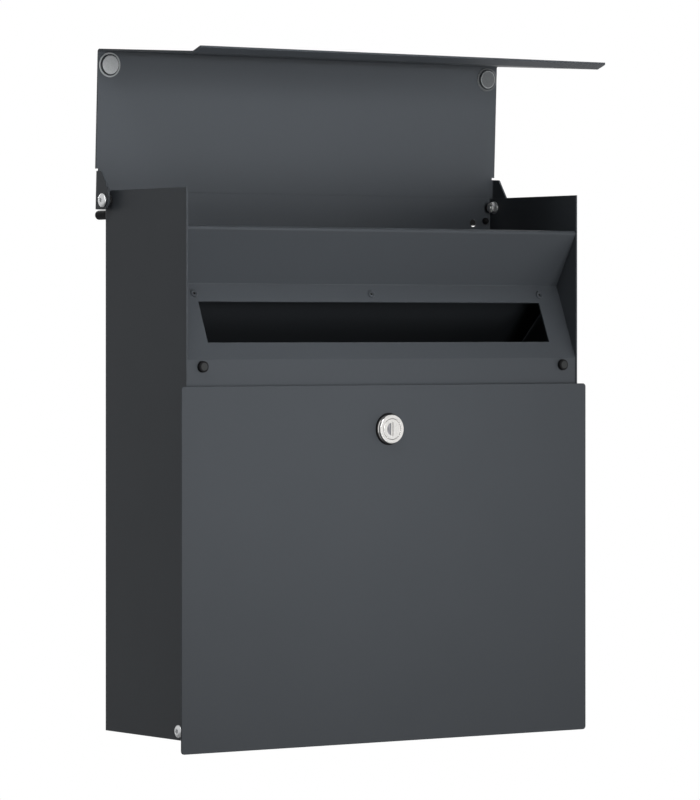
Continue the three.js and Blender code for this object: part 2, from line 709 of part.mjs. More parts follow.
// A clear pad stuck under the roof, above the top edge of the housing's side
function lidPad(name, side) {
  const pad = turned([
    [0, -PAD_HEIGHT],
    [PAD_FACE_RADIUS, -PAD_HEIGHT],
    [PAD_FACE_RADIUS, -PAD_RIM_HEIGHT],
    [PAD_RADIUS, -PAD_RIM_HEIGHT],
    [PAD_RADIUS, 0],
    [0, 0],
  ]).rotateX(Math.PI / 2);
  const x = side * (LID_SIDE - PAD_SIDE_INSET);
  return placed(meshOf(name, solidOf(pad), "clear"), x, PAD_FRONT_INSET - LID_FRONT, LID_RISE - SEAT_GAP);
}

// A button-head screw along +X: its head begins at headFace and its shank ends at shankEnd
function buttonScrew(name, shankEnd, headFace, headRadius, headHeight) {
  const rim = headHeight * SCREW_RIM_SHARE;
  const screw = turnedSideways([
    [0, shankEnd],
    [PIVOT_SHANK_RADIUS, shankEnd],
    [PIVOT_SHANK_RADIUS, headFace],
    [headRadius, headFace],
    ...dome(headRadius, headFace + rim, headHeight - rim),
  ]);
  const top = headFace + headHeight;
  const socket = sideways(hexOf(KEY_FLATS), top - KEY_DEPTH, top + OVERRUN);
  return meshOf(name, cut(solidOf(screw), socket), "nickel");
}

function flatWasher(name, face, thickness) {
  const washer = sideways(ringOf(WASHER_RADIUS, PIVOT_SHANK_RADIUS + FIT_GAP), face - thickness, face, HOLE_STEPS);
  return meshOf(name, solidOf(washer), "zinc");
}

// A lock nut along X, its flats against face and its nylon collar toward the middle of the housing
function lockNut(name, face) {
  const bore = PIVOT_SHANK_RADIUS + FIT_GAP;
  const hex = hexOf(NUT_FLATS);
  hex.holes.push(discOf(bore));
  const flats = sideways(hex, face - NUT_HEIGHT, face, HOLE_STEPS);
  const end = face - NUT_HEIGHT;
  const collar = sideways(ringOf(NUT_COLLAR_RADIUS, bore), end - NUT_COLLAR_HEIGHT, end, HOLE_STEPS);
  return meshOf(name, join(flats, collar), "zinc");
}

// Screw, bush, washer and nut of one lid pivot, made for the right side
function lidPivot(side) {
  const washerFace = INNER_SIDE;
  const nutFace = washerFace - WASHER_SHEET;
  const shankEnd = nutFace - NUT_HEIGHT - NUT_COLLAR_HEIGHT - PIVOT_THREAD_END;
  const bushEnd = SIDE + EAR_GAP - RUN_GAP;
  const bush = sideways(ringOf(BUSH_RADIUS, PIVOT_SHANK_RADIUS + FIT_GAP), SIDE, bushEnd, HOLE_STEPS);
  const pivot = new THREE.Group().add(
    buttonScrew(`lid_pivot_screw_${side}`, shankEnd, LID_SIDE + RUN_GAP, PIVOT_HEAD_RADIUS, PIVOT_HEAD_HEIGHT),
    meshOf(`lid_pivot_bush_${side}`, solidOf(bush), "nylon"),
    flatWasher(`lid_pivot_washer_${side}`, washerFace, WASHER_SHEET),
    lockNut(`lid_pivot_nut_${side}`, nutFace),
  );
  if (side === "left") pivot.rotation.z = Math.PI;
  return placed(pivot, 0, PIVOT_Y, PIVOT_Z);
}

// Screw, washer and nut of one door hinge, made for the right side
function doorHinge(side) {
  const washerSheet = RAIL_GAP - 2 * RUN_GAP;
  const nutFace = RAIL_SIDE - RAIL_SHEET - RUN_GAP;
  const shankEnd = nutFace - NUT_HEIGHT - NUT_COLLAR_HEIGHT - PIVOT_THREAD_END;
  const hinge = new THREE.Group().add(
    buttonScrew(`door_hinge_screw_${side}`, shankEnd, SIDE, DOOR_HEAD_RADIUS, DOOR_HEAD_HEIGHT),
    flatWasher(`door_hinge_washer_${side}`, INNER_SIDE - RUN_GAP, washerSheet),
    lockNut(`door_hinge_nut_${side}`, nutFace),
  );
  if (side === "left") hinge.rotation.z = Math.PI;
  return placed(hinge, 0, HINGE_SET_BACK, HINGE_RISE);
}

// The door's flat front sheet
function doorPanel() {
  const plate = plateOf(-DOOR_SIDE, DOOR_SIDE, -DOOR_DROP, DOOR_TOP, DOOR_CORNER_RADIUS);
  const panel = backward(plate, -DOOR_FACE, -DOOR_GAP, FOLD_STEPS);
  return meshOf("door_panel", cut(solidOf(panel), lockHole()), "coat");
}

function lockHole() {
  const hole = flattedDisc(BARREL_RADIUS + FIT_GAP, BARREL_FLATS + 2 * FIT_GAP);
  return backward(hole, -DOOR_FACE - OVERRUN, OVERRUN, LOCK_STEPS).translate(LOCK_OFFSET, 0, DOOR_TOP - LOCK_DROP);
}

// An angle welded to the door's back at one side, with the hinge lug at its foot
function doorRail(side) {
  const back = HINGE_SET_BACK + LUG_RADIUS;
  const angle = [
    point(RAIL_SIDE - RAIL_WELD_LEG, -DOOR_GAP),
    point(RAIL_SIDE, -DOOR_GAP),
    point(RAIL_SIDE, back),
  ];
  const corners = side === "left" ? mirrored(angle) : angle;
  const rail = solidOf(upward(foldedSheet(corners, RAIL_SHEET), HINGE_RISE - LUG_RADIUS, RAIL_TOP));
  const profile = new THREE.Shape().moveTo(-DOOR_GAP - OVERRUN, RAIL_TOP + OVERRUN);
  profile.lineTo(-DOOR_GAP - OVERRUN, RAIL_FOOT);
  profile.lineTo(HINGE_SET_BACK - LUG_RADIUS, RAIL_FOOT);
  profile.absarc(HINGE_SET_BACK, HINGE_RISE, LUG_RADIUS, Math.PI, 2 * Math.PI, false);
  profile.lineTo(back, RAIL_TOP + OVERRUN);
  profile.closePath();
  const across = [-SIDE, SIDE];
  const hole = discOf(PIVOT_SHANK_RADIUS + FIT_GAP, point(HINGE_SET_BACK, HINGE_RISE));
  const shaped = rail.intersect(solidOf(sideways(profile, ...across, HOLE_STEPS)));
  return meshOf(`door_rail_${side}`, cut(shaped, sideways(hole, ...across, HOLE_STEPS)), "coat");
}

// The angle that stiffens the door's top edge and backs the lock
function lockRail() {
  const section = [
    point(LOCK_RAIL_REACH, RAIL_TOP),
    point(-DOOR_GAP, RAIL_TOP),
    point(-DOOR_GAP, RAIL_TOP - LOCK_RAIL_HEIGHT),
  ];
  const end = RAIL_SIDE - RAIL_WELD_LEG - RUN_GAP;
  const rail = solidOf(sideways(foldedSheet(section, RAIL_SHEET), -end, end));
  return meshOf("lock_rail", cut(rail, lockHole()), "coat");
}

// Lock pieces, along Y from the door's front face at zero
const faceBack = -GASKET_SHEET;
const faceFront = faceBack - FACE_HEIGHT;
const camFace = BARREL_LENGTH + RUN_GAP;

function lockGasket() {
  const gasket = backward(ringOf(GASKET_RADIUS, BARREL_RADIUS + FIT_GAP), -GASKET_SHEET, 0, LOCK_STEPS);
  return meshOf("lock_gasket", solidOf(gasket), "rubber");
}

// The fixed body: a chamfered face with a recess for the plug's head, and a barrel with two flats
function lockBody() {
  const bore = PLUG_RADIUS + FIT_GAP;
  const recess = PLUG_HEAD_RADIUS + FIT_GAP;
  const recessFloor = faceFront + PLUG_HEAD_HEIGHT + FIT_GAP;
  const body = turned([
    [bore, recessFloor],
    [recess, recessFloor],
    [recess, faceFront],
    [FACE_RADIUS - FACE_CHAMFER, faceFront],
    [FACE_RADIUS, faceFront + FACE_CHAMFER],
    [FACE_RADIUS, faceBack - COLLAR_HEIGHT - COLLAR_STEP],
    [FACE_RADIUS - COLLAR_STEP, faceBack - COLLAR_HEIGHT],
    [FACE_RADIUS, faceBack - COLLAR_HEIGHT + COLLAR_STEP / 2],
    [FACE_RADIUS, faceBack],
    [BARREL_RADIUS, faceBack],
    [BARREL_RADIUS, BARREL_LENGTH],
    [bore, BARREL_LENGTH],
    [bore, recessFloor],
  ]);
  const flats = [-1, 1].map((side) => {
    const [low, high] = [(side * BARREL_FLATS) / 2, side * (BARREL_RADIUS + OVERRUN)].sort((a, b) => a - b);
    return backward(blockOf(-FACE_RADIUS, FACE_RADIUS, low, high), 0, BARREL_LENGTH + OVERRUN);
  });
  return meshOf("lock_body", cut(solidOf(body), ...flats), "nickel");
}

function lockBackNut() {
  const hex = hexOf(LOCK_NUT_FLATS);
  hex.holes.push(discOf(BARREL_RADIUS + FIT_GAP));
  const face = DOOR_SHEET + RAIL_SHEET;
  return meshOf("lock_back_nut", solidOf(backward(hex, face, face + LOCK_NUT_HEIGHT, LOCK_STEPS)), "zinc");
}

// The turning plug: a head with a keyway beside a half-round shutter, and a square tang through the cam
function lockPlug() {
  const tangEnd = camFace + CAM_SHEET + RUN_GAP;
  const plug = turned([
    [0, faceFront],
    [PLUG_HEAD_RADIUS, faceFront],
    [PLUG_HEAD_RADIUS, faceFront + PLUG_HEAD_HEIGHT],
    [PLUG_RADIUS, faceFront + PLUG_HEAD_HEIGHT],
    [PLUG_RADIUS, BARREL_LENGTH],
    [0, BARREL_LENGTH],
  ]);
  const half = TANG_FLATS / 2;
  const tang = backward(blockOf(-half, half, -half, half), BARREL_LENGTH - OVERRUN, tangEnd);
  const tall = KEYWAY_HEIGHT / 2;
  const keyway = blockOf(KEYWAY_OFFSET - KEYWAY_WIDTH / 2, KEYWAY_OFFSET + KEYWAY_WIDTH / 2, -tall, tall);
  const shutter = new THREE.Shape();
  shutter.absellipse(-SHUTTER_OFFSET, 0, SHUTTER_WIDTH, SHUTTER_HEIGHT / 2, Math.PI / 2, 1.5 * Math.PI, false, 0);
  shutter.closePath();
  const screwHole = discOf(CAM_SCREW_RADIUS + FIT_GAP);
  const cuts = [
    backward(keyway, faceFront - OVERRUN, faceFront + KEYWAY_DEPTH),
    backward(shutter, faceFront - OVERRUN, faceFront + SHUTTER_DEPTH),
    backward(screwHole, tangEnd - CAM_SCREW_LENGTH - RUN_GAP, tangEnd + OVERRUN),
  ];
  return meshOf("lock_plug", cut(join(plug, tang), ...cuts), "nickel");
}

// The cam, turned aside so that the door can open
function lockCam() {
  const half = CAM_WIDTH / 2;
  const cam = new THREE.Shape();
  cam.absarc(0, 0, half, Math.PI / 2, 1.5 * Math.PI, false);
  cam.lineTo(CAM_LENGTH - half, -half);
  cam.absarc(CAM_LENGTH - half, 0, half, -Math.PI / 2, Math.PI / 2, false);
  cam.closePath();
  const eye = TANG_FLATS / 2 + FIT_GAP;
  const square = backward(blockOf(-eye, eye, -eye, eye), camFace - OVERRUN, camFace + CAM_SHEET + OVERRUN);
  return meshOf("lock_cam", cut(solidOf(backward(cam, camFace, camFace + CAM_SHEET)), square), "zinc");
}

function camScrew() {
  const seat = camFace + CAM_SHEET + 2 * RUN_GAP;
  const head = backward(hexOf(CAM_SCREW_FLATS), seat + WASHER_SHEET, seat + WASHER_SHEET + CAM_SCREW_HEAD);
  const washer = backward(discOf(WASHER_RADIUS), seat, seat + WASHER_SHEET);
  const shank = backward(discOf(CAM_SCREW_RADIUS), seat - CAM_SCREW_LENGTH, seat);
  return meshOf("lock_cam_screw", join(washer, head, shank), "zinc");
}

// Assembly
const mailbox = new THREE.Group();

const housing = placed(new THREE.Group(), 0, -BODY_DEPTH - WALL_GAP, 0);
housing.add(housingShell(), bottomTray(), slotPanel(), newspaperShelf());
housing.add(...rivetPlaces().map(slotRivet), ...bufferPlaces().map(lidBuffer));
housing.add(...spacerPlaces().map(wallSpacer), lidPivot("left"), lidPivot("right"));
housing.add(doorHinge("left"), doorHinge("right"));

const lid = placed(new THREE.Group(), 0, PIVOT_Y, PIVOT_Z);
lid.rotation.x = -LID_LEAN;
lid.add(lidPanel(), lidPad("lid_pad_left", -1), lidPad("lid_pad_right", 1));
housing.add(lid);

const door = new THREE.Group();
door.add(doorPanel(), doorRail("left"), doorRail("right"), lockRail());
const lock = placed(new THREE.Group(), LOCK_OFFSET, -DOOR_FACE, DOOR_TOP - LOCK_DROP);
lock.add(lockGasket(), lockBody(), lockBackNut(), lockPlug(), lockCam(), camScrew());
door.add(lock);
housing.add(door);

mailbox.add(housing);

export default mailbox;
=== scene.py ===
import json
import math

import bmesh
import bpy
from mathutils import Matrix, Vector


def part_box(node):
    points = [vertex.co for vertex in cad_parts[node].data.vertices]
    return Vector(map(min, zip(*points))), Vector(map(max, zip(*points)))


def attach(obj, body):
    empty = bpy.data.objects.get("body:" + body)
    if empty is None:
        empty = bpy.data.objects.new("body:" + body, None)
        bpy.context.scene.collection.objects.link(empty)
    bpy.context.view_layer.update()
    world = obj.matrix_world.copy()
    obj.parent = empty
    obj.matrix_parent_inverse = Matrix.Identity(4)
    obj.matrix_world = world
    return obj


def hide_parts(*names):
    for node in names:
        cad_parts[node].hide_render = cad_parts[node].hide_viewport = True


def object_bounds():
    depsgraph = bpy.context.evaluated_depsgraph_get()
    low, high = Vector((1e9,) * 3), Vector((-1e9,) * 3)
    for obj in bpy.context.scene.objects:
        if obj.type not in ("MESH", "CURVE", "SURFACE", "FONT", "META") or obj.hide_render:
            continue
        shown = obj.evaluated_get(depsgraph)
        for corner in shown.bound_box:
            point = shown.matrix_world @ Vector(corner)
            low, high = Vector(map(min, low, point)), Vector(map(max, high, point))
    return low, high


# Looks for a wall mailbox in folded sheet steel: coated sheets with softened edges, turned and hexagonal
# fasteners, rubber spacers and buffers, clear pads and a cam lock, with a plain studio round them.

bl_info = {
    "name": "Wall mailbox",
    "version": (1, 0, 0),
    "blender": (4, 5, 0),
    "location": "View3D > Sidebar > Mailbox",
    "description": "Finishes the folded sheets, fasteners and lock of a wall mailbox, and lights it",
    "category": "Object",
}

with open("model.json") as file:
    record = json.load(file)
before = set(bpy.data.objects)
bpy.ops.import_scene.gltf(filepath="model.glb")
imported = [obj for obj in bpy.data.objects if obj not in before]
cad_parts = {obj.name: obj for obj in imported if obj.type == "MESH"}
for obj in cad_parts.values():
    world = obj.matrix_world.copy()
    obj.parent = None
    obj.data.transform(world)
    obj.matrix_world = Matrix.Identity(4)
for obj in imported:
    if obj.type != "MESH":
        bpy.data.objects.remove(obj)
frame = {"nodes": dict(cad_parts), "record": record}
CAD_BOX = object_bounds()

# Directions and sizes that several pieces share, in metres
MM = 0.001
LEFTWARD, RIGHTWARD = Vector((-1, 0, 0)), Vector((1, 0, 0))
FRONTWARD, BACKWARD = Vector((0, -1, 0)), Vector((0, 1, 0))
WELD = 0.002 * MM
FLAT_ANGLE = math.radians(1)
SHARP_ANGLE = math.radians(50)
RIM_ANGLE = math.radians(28)
BLUNT_ANGLE = math.radians(40)
EDGE_ANGLE = math.radians(45)
CORNER_ANGLE = math.radians(60)
CLEARANCE = 0.3 * MM
BODY_OF = {node: body for body, nodes in frame["record"]["behaviour"]["bodies"].items() for node in nodes}
SLOT_OF = {part["node"]: part["material_slot"] for part in frame["record"]["subparts"]}
SHEETS = ("housing_shell", "bottom_tray", "slot_panel", "newspaper_shelf", "lid_panel", "door_panel",
          "door_rail_left", "door_rail_right", "lock_rail")
# The shelf inside the box takes the coat darkened as painted shade, for the shade behind the letter slot.
SHADE_PAINTED_SHEET = "newspaper_shelf"
SIDES = (("left", LEFTWARD), ("right", RIGHTWARD))


def metres(value, name, description):
    """A length property that the sidebar shows in the scene's unit."""
    return bpy.props.FloatProperty(name=name, description=description, default=value, unit="LENGTH",
                                   precision=5, min=0)


def colour(value, name, description):
    return bpy.props.FloatVectorProperty(name=name, description=description, default=value, subtype="COLOR",
                                         size=3, min=0, max=1)


def share(value, name, description, high=1.0):
    return bpy.props.FloatProperty(name=name, description=description, default=value, subtype="FACTOR",
                                   min=0, max=high)


def angle(value, name, description):
    return bpy.props.FloatProperty(name=name, description=description, default=math.radians(value),
                                   subtype="ANGLE")


class CoatSettings(bpy.types.PropertyGroup):
    """Powder coat on the folded sheets."""
    base: colour((0.054, 0.060, 0.068), "Coat", "Colour of the powder coat")
    shade: colour((0.048, 0.054, 0.061), "Coat, thin", "Colour where the coat lies thinner")
    roughness: share(0.42, "Roughness", "Roughness of the coat")
    specular: share(0.105, "Specular", "Strength of the coat's reflections")
    grain: metres(0.55 * MM, "Grain", "Width of one grain of the cured powder")
    edge_round: metres(0.32 * MM, "Edge round", "Radius of the sheets' cut edges under the coat")
    # Painted shade: the share of its colour that the coat keeps on the shelf inside.
    inner: share(0.3, "Inner coat", "How much of its colour the coat keeps on the shelf inside")


class FastenerSettings(bpy.types.PropertyGroup):
    """Screws, nuts, washers, bushes and rivets."""
    zinc: colour((0.62, 0.63, 0.64), "Zinc", "Colour of the zinc plate")
    nylon: colour((0.62, 0.62, 0.6), "Nylon", "Colour of the nuts' collars")
    bush: colour((0.012, 0.012, 0.013), "Bush", "Colour of the bushes")
    rivet_head: metres(3.2 * MM, "Rivet head", "Radius of a blind rivet's head")
    rivet_body: metres(1.6 * MM, "Rivet body", "Radius of a blind rivet's body")
    rivet_tail: metres(2.2 * MM, "Rivet tail", "Radius of a blind rivet's upset tail")
    shank_radius: metres(2.5 * MM, "Shank radius", "Radius of a hinge screw's shank")
    key_flats: metres(3 * MM, "Key flats", "Width of the hexagonal key socket")
    key_depth: metres(1.5 * MM, "Key depth", "Depth of the hexagonal key socket")
    nut_collar: metres(3.5 * MM, "Nut collar", "Radius of a lock nut's nylon collar")
    rivet_bore: metres(0.9 * MM, "Rivet bore", "Radius of the hole left by a blind rivet's pin")


class RubberSettings(bpy.types.PropertyGroup):
    """Wall spacers, lid buffers and the ring under the lock."""
    black: colour((0.005, 0.005, 0.0055), "Rubber", "Colour of the rubber")
    dust: colour((0.011, 0.011, 0.012), "Rubber, dusty", "Colour of the rubber where it has bloomed")
    # A buffer's face is made a paler grey than the rest of its rubber.
    face_grey: colour((0.040, 0.042, 0.043), "Rubber, rubbed", "Colour of a buffer's face, which the lid rubs")
    buffer_face: metres(2.85 * MM, "Buffer face", "Radius of a buffer's flat face")
    buffer_stem: metres(1.7 * MM, "Buffer stem", "Radius of a buffer's stem")
    spacer_stem: metres(1.8 * MM, "Spacer stem", "Radius of a wall spacer's stem")
    spacer_barb: metres(2.8 * MM, "Spacer barb", "Radius of a wall spacer's barb")
    spacer_round: metres(1.1 * MM, "Spacer round", "Rounding of a wall spacer's end")
    buffer_round: metres(0.9 * MM, "Buffer round", "Rounding of a buffer's front edge")


class PadSettings(bpy.types.PropertyGroup):
    """Clear pads stuck under the lid's front corners."""
    tint: colour((0.066, 0.071, 0.075), "Clear pad", "Colour of a clear pad's disc over the coat")
    # Painted reflection: the milky pad's disc is made pale in place of the bright reflection it shows.
    reflection_tint: colour((0.26, 0.27, 0.275), "Milky pad", "Colour of a pad's disc that has gone milky")
    # Painted highlight: the pale rims stand in for glints on the pads' rounded edges.
    rim: colour((0.26, 0.275, 0.28), "Pad rim", "Colour of a pad's moulded rims")
    disc_radius: metres(7.2 * MM, "Disc radius", "Radius of the pad's raised disc")
    disc_edge: metres(0.75 * MM, "Disc edge", "Width of the moulded rim round the disc")
    rim_width: metres(1.2 * MM, "Rim width", "Width of the pad's outer rim")
    rim_height: metres(0.5 * MM, "Rim height", "Height of the pad's outer rim")
    groove_floor: metres(0.15 * MM, "Groove floor", "Thickness left under the groove")


class LockSettings(bpy.types.PropertyGroup):
    """Cam lock on the door."""
    nickel: colour((0.61, 0.6, 0.585), "Nickel", "Colour of the lock's nickel plate")
    ring_pitch: metres(0.16 * MM, "Ring pitch", "Distance between the rings that turning left on the face")
    head_radius: metres(7.8 * MM, "Plug radius", "Radius of the turning plug's head")
    head_height: metres(2.4 * MM, "Plug height", "Height of the turning plug's head")
    shank_radius: metres(6.2 * MM, "Plug shank", "Radius of the plug behind its head")
    gap: metres(0.3 * MM, "Gap", "Gap round the plug's head")
    chamfer: metres(0.5 * MM, "Chamfer", "Chamfer round the face")
    collar: metres(1.1 * MM, "Collar", "Height of the collar under the face")
    collar_slope: metres(0.7 * MM, "Collar slope", "How far the collar tapers")
    groove: metres(0.5 * MM, "Groove", "Width of the groove between face and collar")
    barrel_radius: metres(9.3 * MM, "Barrel radius", "Radius of the threaded barrel")
    barrel_flats: metres(16 * MM, "Barrel flats", "Width across the barrel's flats")
    keyway_width: metres(0.5 * MM, "Keyway width", "Width of the keyway")
    keyway_height: metres(10.9 * MM, "Keyway height", "Height of the keyway")
    keyway_offset: metres(0.7 * MM, "Keyway offset", "Distance of the keyway from the lock's centre")
    shutter_width: metres(3.7 * MM, "Recess width", "Width of the half-moon recess")
    shutter_height: metres(9.2 * MM, "Recess height", "Height of the half-moon recess")
    shutter_offset: metres(1 * MM, "Recess offset", "Distance of the recess's flat side from the centre")
    shutter_depth: metres(0.45 * MM, "Recess depth", "Depth of the half-moon recess")
    # Painted shade: the recess's floor is made dark in place of the shade in it.
    recess_shade: colour((0.1, 0.1, 0.105), "Shutter", "Colour of the steel shutter in the recess")


class StudioSettings(bpy.types.PropertyGroup):
    """Camera, floor and light."""
    camera_place: bpy.props.FloatVectorProperty(
        name="Camera", description="Place of the camera", default=(-1.99456, -2.9419, 0.30599), size=3,
        subtype="TRANSLATION", unit="LENGTH")
    camera_turn: angle(34.903, "Camera turn", "How far the camera is turned to the right of straight ahead")
    camera_lens: bpy.props.FloatProperty(name="Lens", description="Focal length", default=202.81,
                                         subtype="DISTANCE_CAMERA", min=1)
    camera_rise: bpy.props.FloatProperty(name="Rise", description="Vertical shift of the lens",
                                         default=-0.0893)
    floor_drop: metres(0.26, "Floor drop", "Distance from the mailbox down to the floor")
    floor_size: metres(2.4, "Floor size", "Side of the square floor")
    floor: colour((0.8, 0.8, 0.8), "Floor", "Colour of the floor")
    ambient: share(0.1, "Ambient", "Strength of the even light from all round", high=4)


class MailboxSettings(bpy.types.PropertyGroup):
    """All sizes and colours of the mailbox's looks."""
    coat: bpy.props.PointerProperty(type=CoatSettings, name="Coat", description="Powder coat")
    fasteners: bpy.props.PointerProperty(type=FastenerSettings, name="Fasteners", description="Fasteners")
    rubber: bpy.props.PointerProperty(type=RubberSettings, name="Rubber", description="Rubber pieces")
    pads: bpy.props.PointerProperty(type=PadSettings, name="Pads", description="Clear pads")
    lock: bpy.props.PointerProperty(type=LockSettings, name="Lock", description="Cam lock")
    studio: bpy.props.PointerProperty(type=StudioSettings, name="Studio", description="Camera and light")


# Materials
def toned(colour, factor):
    """A colour made paler or darker."""
    return tuple(level * factor for level in colour)


def operation(kind, reflected=False):
    """A Python operator that becomes a Math node."""
    def method(self, other):
        return self.finish.math(kind, *((other, self) if reflected else (self, other)))
    return method


class Reading:
    """A shader value that varies over the surface and takes part in Python sums."""

    def __init__(self, finish, socket):
        self.finish, self.socket = finish, socket

    __add__, __radd__ = operation("ADD"), operation("ADD", True)
    __sub__, __mul__ = operation("SUBTRACT"), operation("MULTIPLY")


class Finish:
    """One procedural material, built node by node round its Principled shader."""

    def __init__(self, name, **uniform):
        self.material = bpy.data.materials.new(name)
        self.material.use_nodes = True
        self.tree = self.material.node_tree
        self.shader = self.tree.nodes["Principled BSDF"]
        for socket, value in uniform.items():
            self.shader.inputs[socket.replace("_", " ")].default_value = value

    def node(self, kind, settings=None, **sockets):
        """Adds a node: its settings are set first, then the values or links of its sockets."""
        made = self.tree.nodes.new(kind)
        for key, value in (settings or {}).items():
            if key == "stops":
                self.set_stops(made.color_ramp, value)
            else:
                setattr(made, key, value)
        for key, value in sockets.items():
            self.feed(made.inputs[int(key[1:]) if key[1:].isdigit() else key.replace("_", " ")], value)
        return made

    def set_stops(self, ramp, stops):
        while len(ramp.elements) < len(stops):
            ramp.elements.new(1)
        for element, (position, level) in zip(ramp.elements, stops):
            element.position = position
            element.color = (*(level if isinstance(level, tuple) else (level,) * 3), 1)

    def feed(self, socket, value):
        if isinstance(value, Reading):
            value = value.socket
        if isinstance(value, bpy.types.NodeSocket):
            self.tree.links.new(value, socket)
        elif socket.type == "RGBA":
            socket.default_value = (*value, 1)
        else:
            socket.default_value = value

    def math(self, kind, *terms):
        inputs = {f"i{i}": term for i, term in enumerate(terms)}
        return Reading(self, self.node("ShaderNodeMath", {"operation": kind}, **inputs).outputs[0])

    def clamped(self, value, low, high):
        limited = self.node("ShaderNodeClamp", Value=value, Min=low, Max=high)
        return Reading(self, limited.outputs[0])

    def place(self, centre=(0, 0, 0), scale=(1, 1, 1)):
        """Object coordinates, measured from a centre and then scaled."""
        coordinates = self.node("ShaderNodeTexCoord")
        moved = self.node("ShaderNodeMapping", {"vector_type": "TEXTURE"},
                          Vector=coordinates.outputs["Object"], Location=centre)
        if tuple(scale) == (1, 1, 1):
            return moved.outputs[0]
        return self.node("ShaderNodeVectorMath", {"operation": "MULTIPLY"}, i0=moved.outputs[0],
                         i1=scale).outputs[0]

    def noise(self, size, vector=None, detail=2.0, roughness=0.5, distortion=0.0):
        """Noise whose blobs are about size across."""
        vector = vector or self.place()
        made = self.node("ShaderNodeTexNoise", Vector=vector, Scale=1 / size, Detail=detail,
                         Roughness=roughness, Distortion=distortion)
        return Reading(self, made.outputs[0])

    def cells(self, size):
        made = self.node("ShaderNodeTexVoronoi", Vector=self.place(), Scale=1 / size)
        return Reading(self, made.outputs["Distance"])

    def ramp(self, value, *stops):
        return Reading(self, self.node("ShaderNodeValToRGB", {"stops": stops}, Fac=value).outputs[0])

    def mixed(self, factor, first, second):
        made = self.node("ShaderNodeMix", {"data_type": "RGBA"}, i0=factor, i6=first, i7=second)
        return made.outputs[2]

    def bump(self, height, depth, strength, below=None):
        """A normal from a height from 0 to 1, whose full step is depth metres."""
        sockets = {"Height": height, "Distance": depth, "Strength": strength}
        if below is not None:
            sockets["Normal"] = below
        return self.node("ShaderNodeBump", **sockets).outputs[0]

    def drive(self, **sockets):
        for key, value in sockets.items():
            self.feed(self.shader.inputs[key.replace("_", " ")], value)
        return self.material


def powder_coat(name, coat, depth=1.0):
    """Cured powder coat: a fine orange peel, patches of thinner coat and faint handling marks. A depth below
    1 darkens the whole coat as painted shade.
    """
    finish = Finish(name, Metallic=0.0, Specular_IOR_Level=coat.specular)
    full, faint = toned(coat.base, depth), toned(coat.shade, depth)
    grain = finish.noise(coat.grain, detail=1.5)
    peel = finish.noise(coat.grain * 4.5, detail=2.0)
    patches = finish.noise(70 * MM, detail=3.0)
    specks = finish.ramp(finish.cells(coat.grain * 3), (0.0, 1.0), (0.16, 0.0))
    thin = finish.clamped(patches * 0.7 + peel * 0.3 + specks * 0.15, 0.0, 1.0)
    smudges = finish.ramp(finish.noise(38 * MM, detail=4.0, roughness=0.62), (0.45, 0.0), (0.75, 1.0))
    fine = finish.bump(grain, 0.03 * MM, 0.35)
    return finish.drive(
        Base_Color=finish.mixed(thin, full, faint),
        Roughness=coat.roughness + (grain - 0.5) * 0.08 + smudges * 0.035 + (peel - 0.5) * 0.05,
        Normal=finish.bump(peel, 0.06 * MM, 0.3, fine),
    )


def zinc_plate(fasteners):
    """Zinc plate: a cool, slightly cloudy satin with fine scratches from the wrench."""
    finish = Finish("zinc plate", Metallic=1.0)
    clouds = finish.noise(1.6 * MM, detail=3.0)
    scratches = finish.noise(0.09 * MM, finish.place(scale=(1, 0.12, 1)), detail=2.0)
    dull = toned(fasteners.zinc, 0.74)
    return finish.drive(
        Base_Color=finish.mixed(finish.clamped(clouds, 0.0, 1.0), dull, tuple(fasteners.zinc)),
        Roughness=0.26 + clouds * 0.16 + scratches * 0.1,
        Normal=finish.bump(scratches, 0.008 * MM, 0.5),
    )


def nickel_plate(lock, centre):
    """Nickel plate with the fine rings that turning leaves round the lock's axis."""
    finish = Finish("nickel plate", Metallic=1.0)
    across = finish.place(centre, (1, 0, 1))
    length = finish.node("ShaderNodeVectorMath", {"operation": "LENGTH"}, i0=across)
    turns = Reading(finish, length.outputs["Value"]) * (2 * math.pi / lock.ring_pitch)
    rings = finish.math("SINE", turns) * 0.5 + 0.5
    wear = finish.noise(0.8 * MM, detail=3.0)
    dull = toned(lock.nickel, 0.86)
    return finish.drive(
        Base_Color=finish.mixed(wear, dull, tuple(lock.nickel)),
        Roughness=0.12 + wear * 0.08 + rings * 0.04,
        Normal=finish.bump(rings * 0.7 + wear * 0.3, 0.004 * MM, 0.4),
    )


def recess_shade_steel(lock):
    """Painted shade for the floor of the half-moon recess: a dark metal with paler streaks that run up and
    down.
    """
    finish = Finish("recess shade steel", Metallic=1.0)
    streaks = finish.noise(0.7 * MM, finish.place(scale=(1, 1, 0.3)), detail=3.0)
    bright = toned(lock.recess_shade, 2.6)
    return finish.drive(
        Base_Color=finish.mixed(finish.ramp(streaks, (0.4, 0.0), (0.75, 1.0)), tuple(lock.recess_shade), bright),
        Roughness=0.32 + streaks * 0.2,
        Normal=finish.bump(streaks, 0.01 * MM, 0.5),
    )


def black_rubber(rubber):
    """Moulded black rubber with a dull bloom."""
    finish = Finish("black rubber", Metallic=0.0, Specular_IOR_Level=0.09)
    bloom = finish.ramp(finish.noise(2.2 * MM, detail=4.0), (0.4, 0.0), (0.75, 1.0))
    pores = finish.noise(0.14 * MM, detail=1.0)
    return finish.drive(
        Base_Color=finish.mixed(bloom, tuple(rubber.black), tuple(rubber.dust)),
        Roughness=0.58 + bloom * 0.18 + pores * 0.08,
        Normal=finish.bump(pores, 0.02 * MM, 0.5),
    )


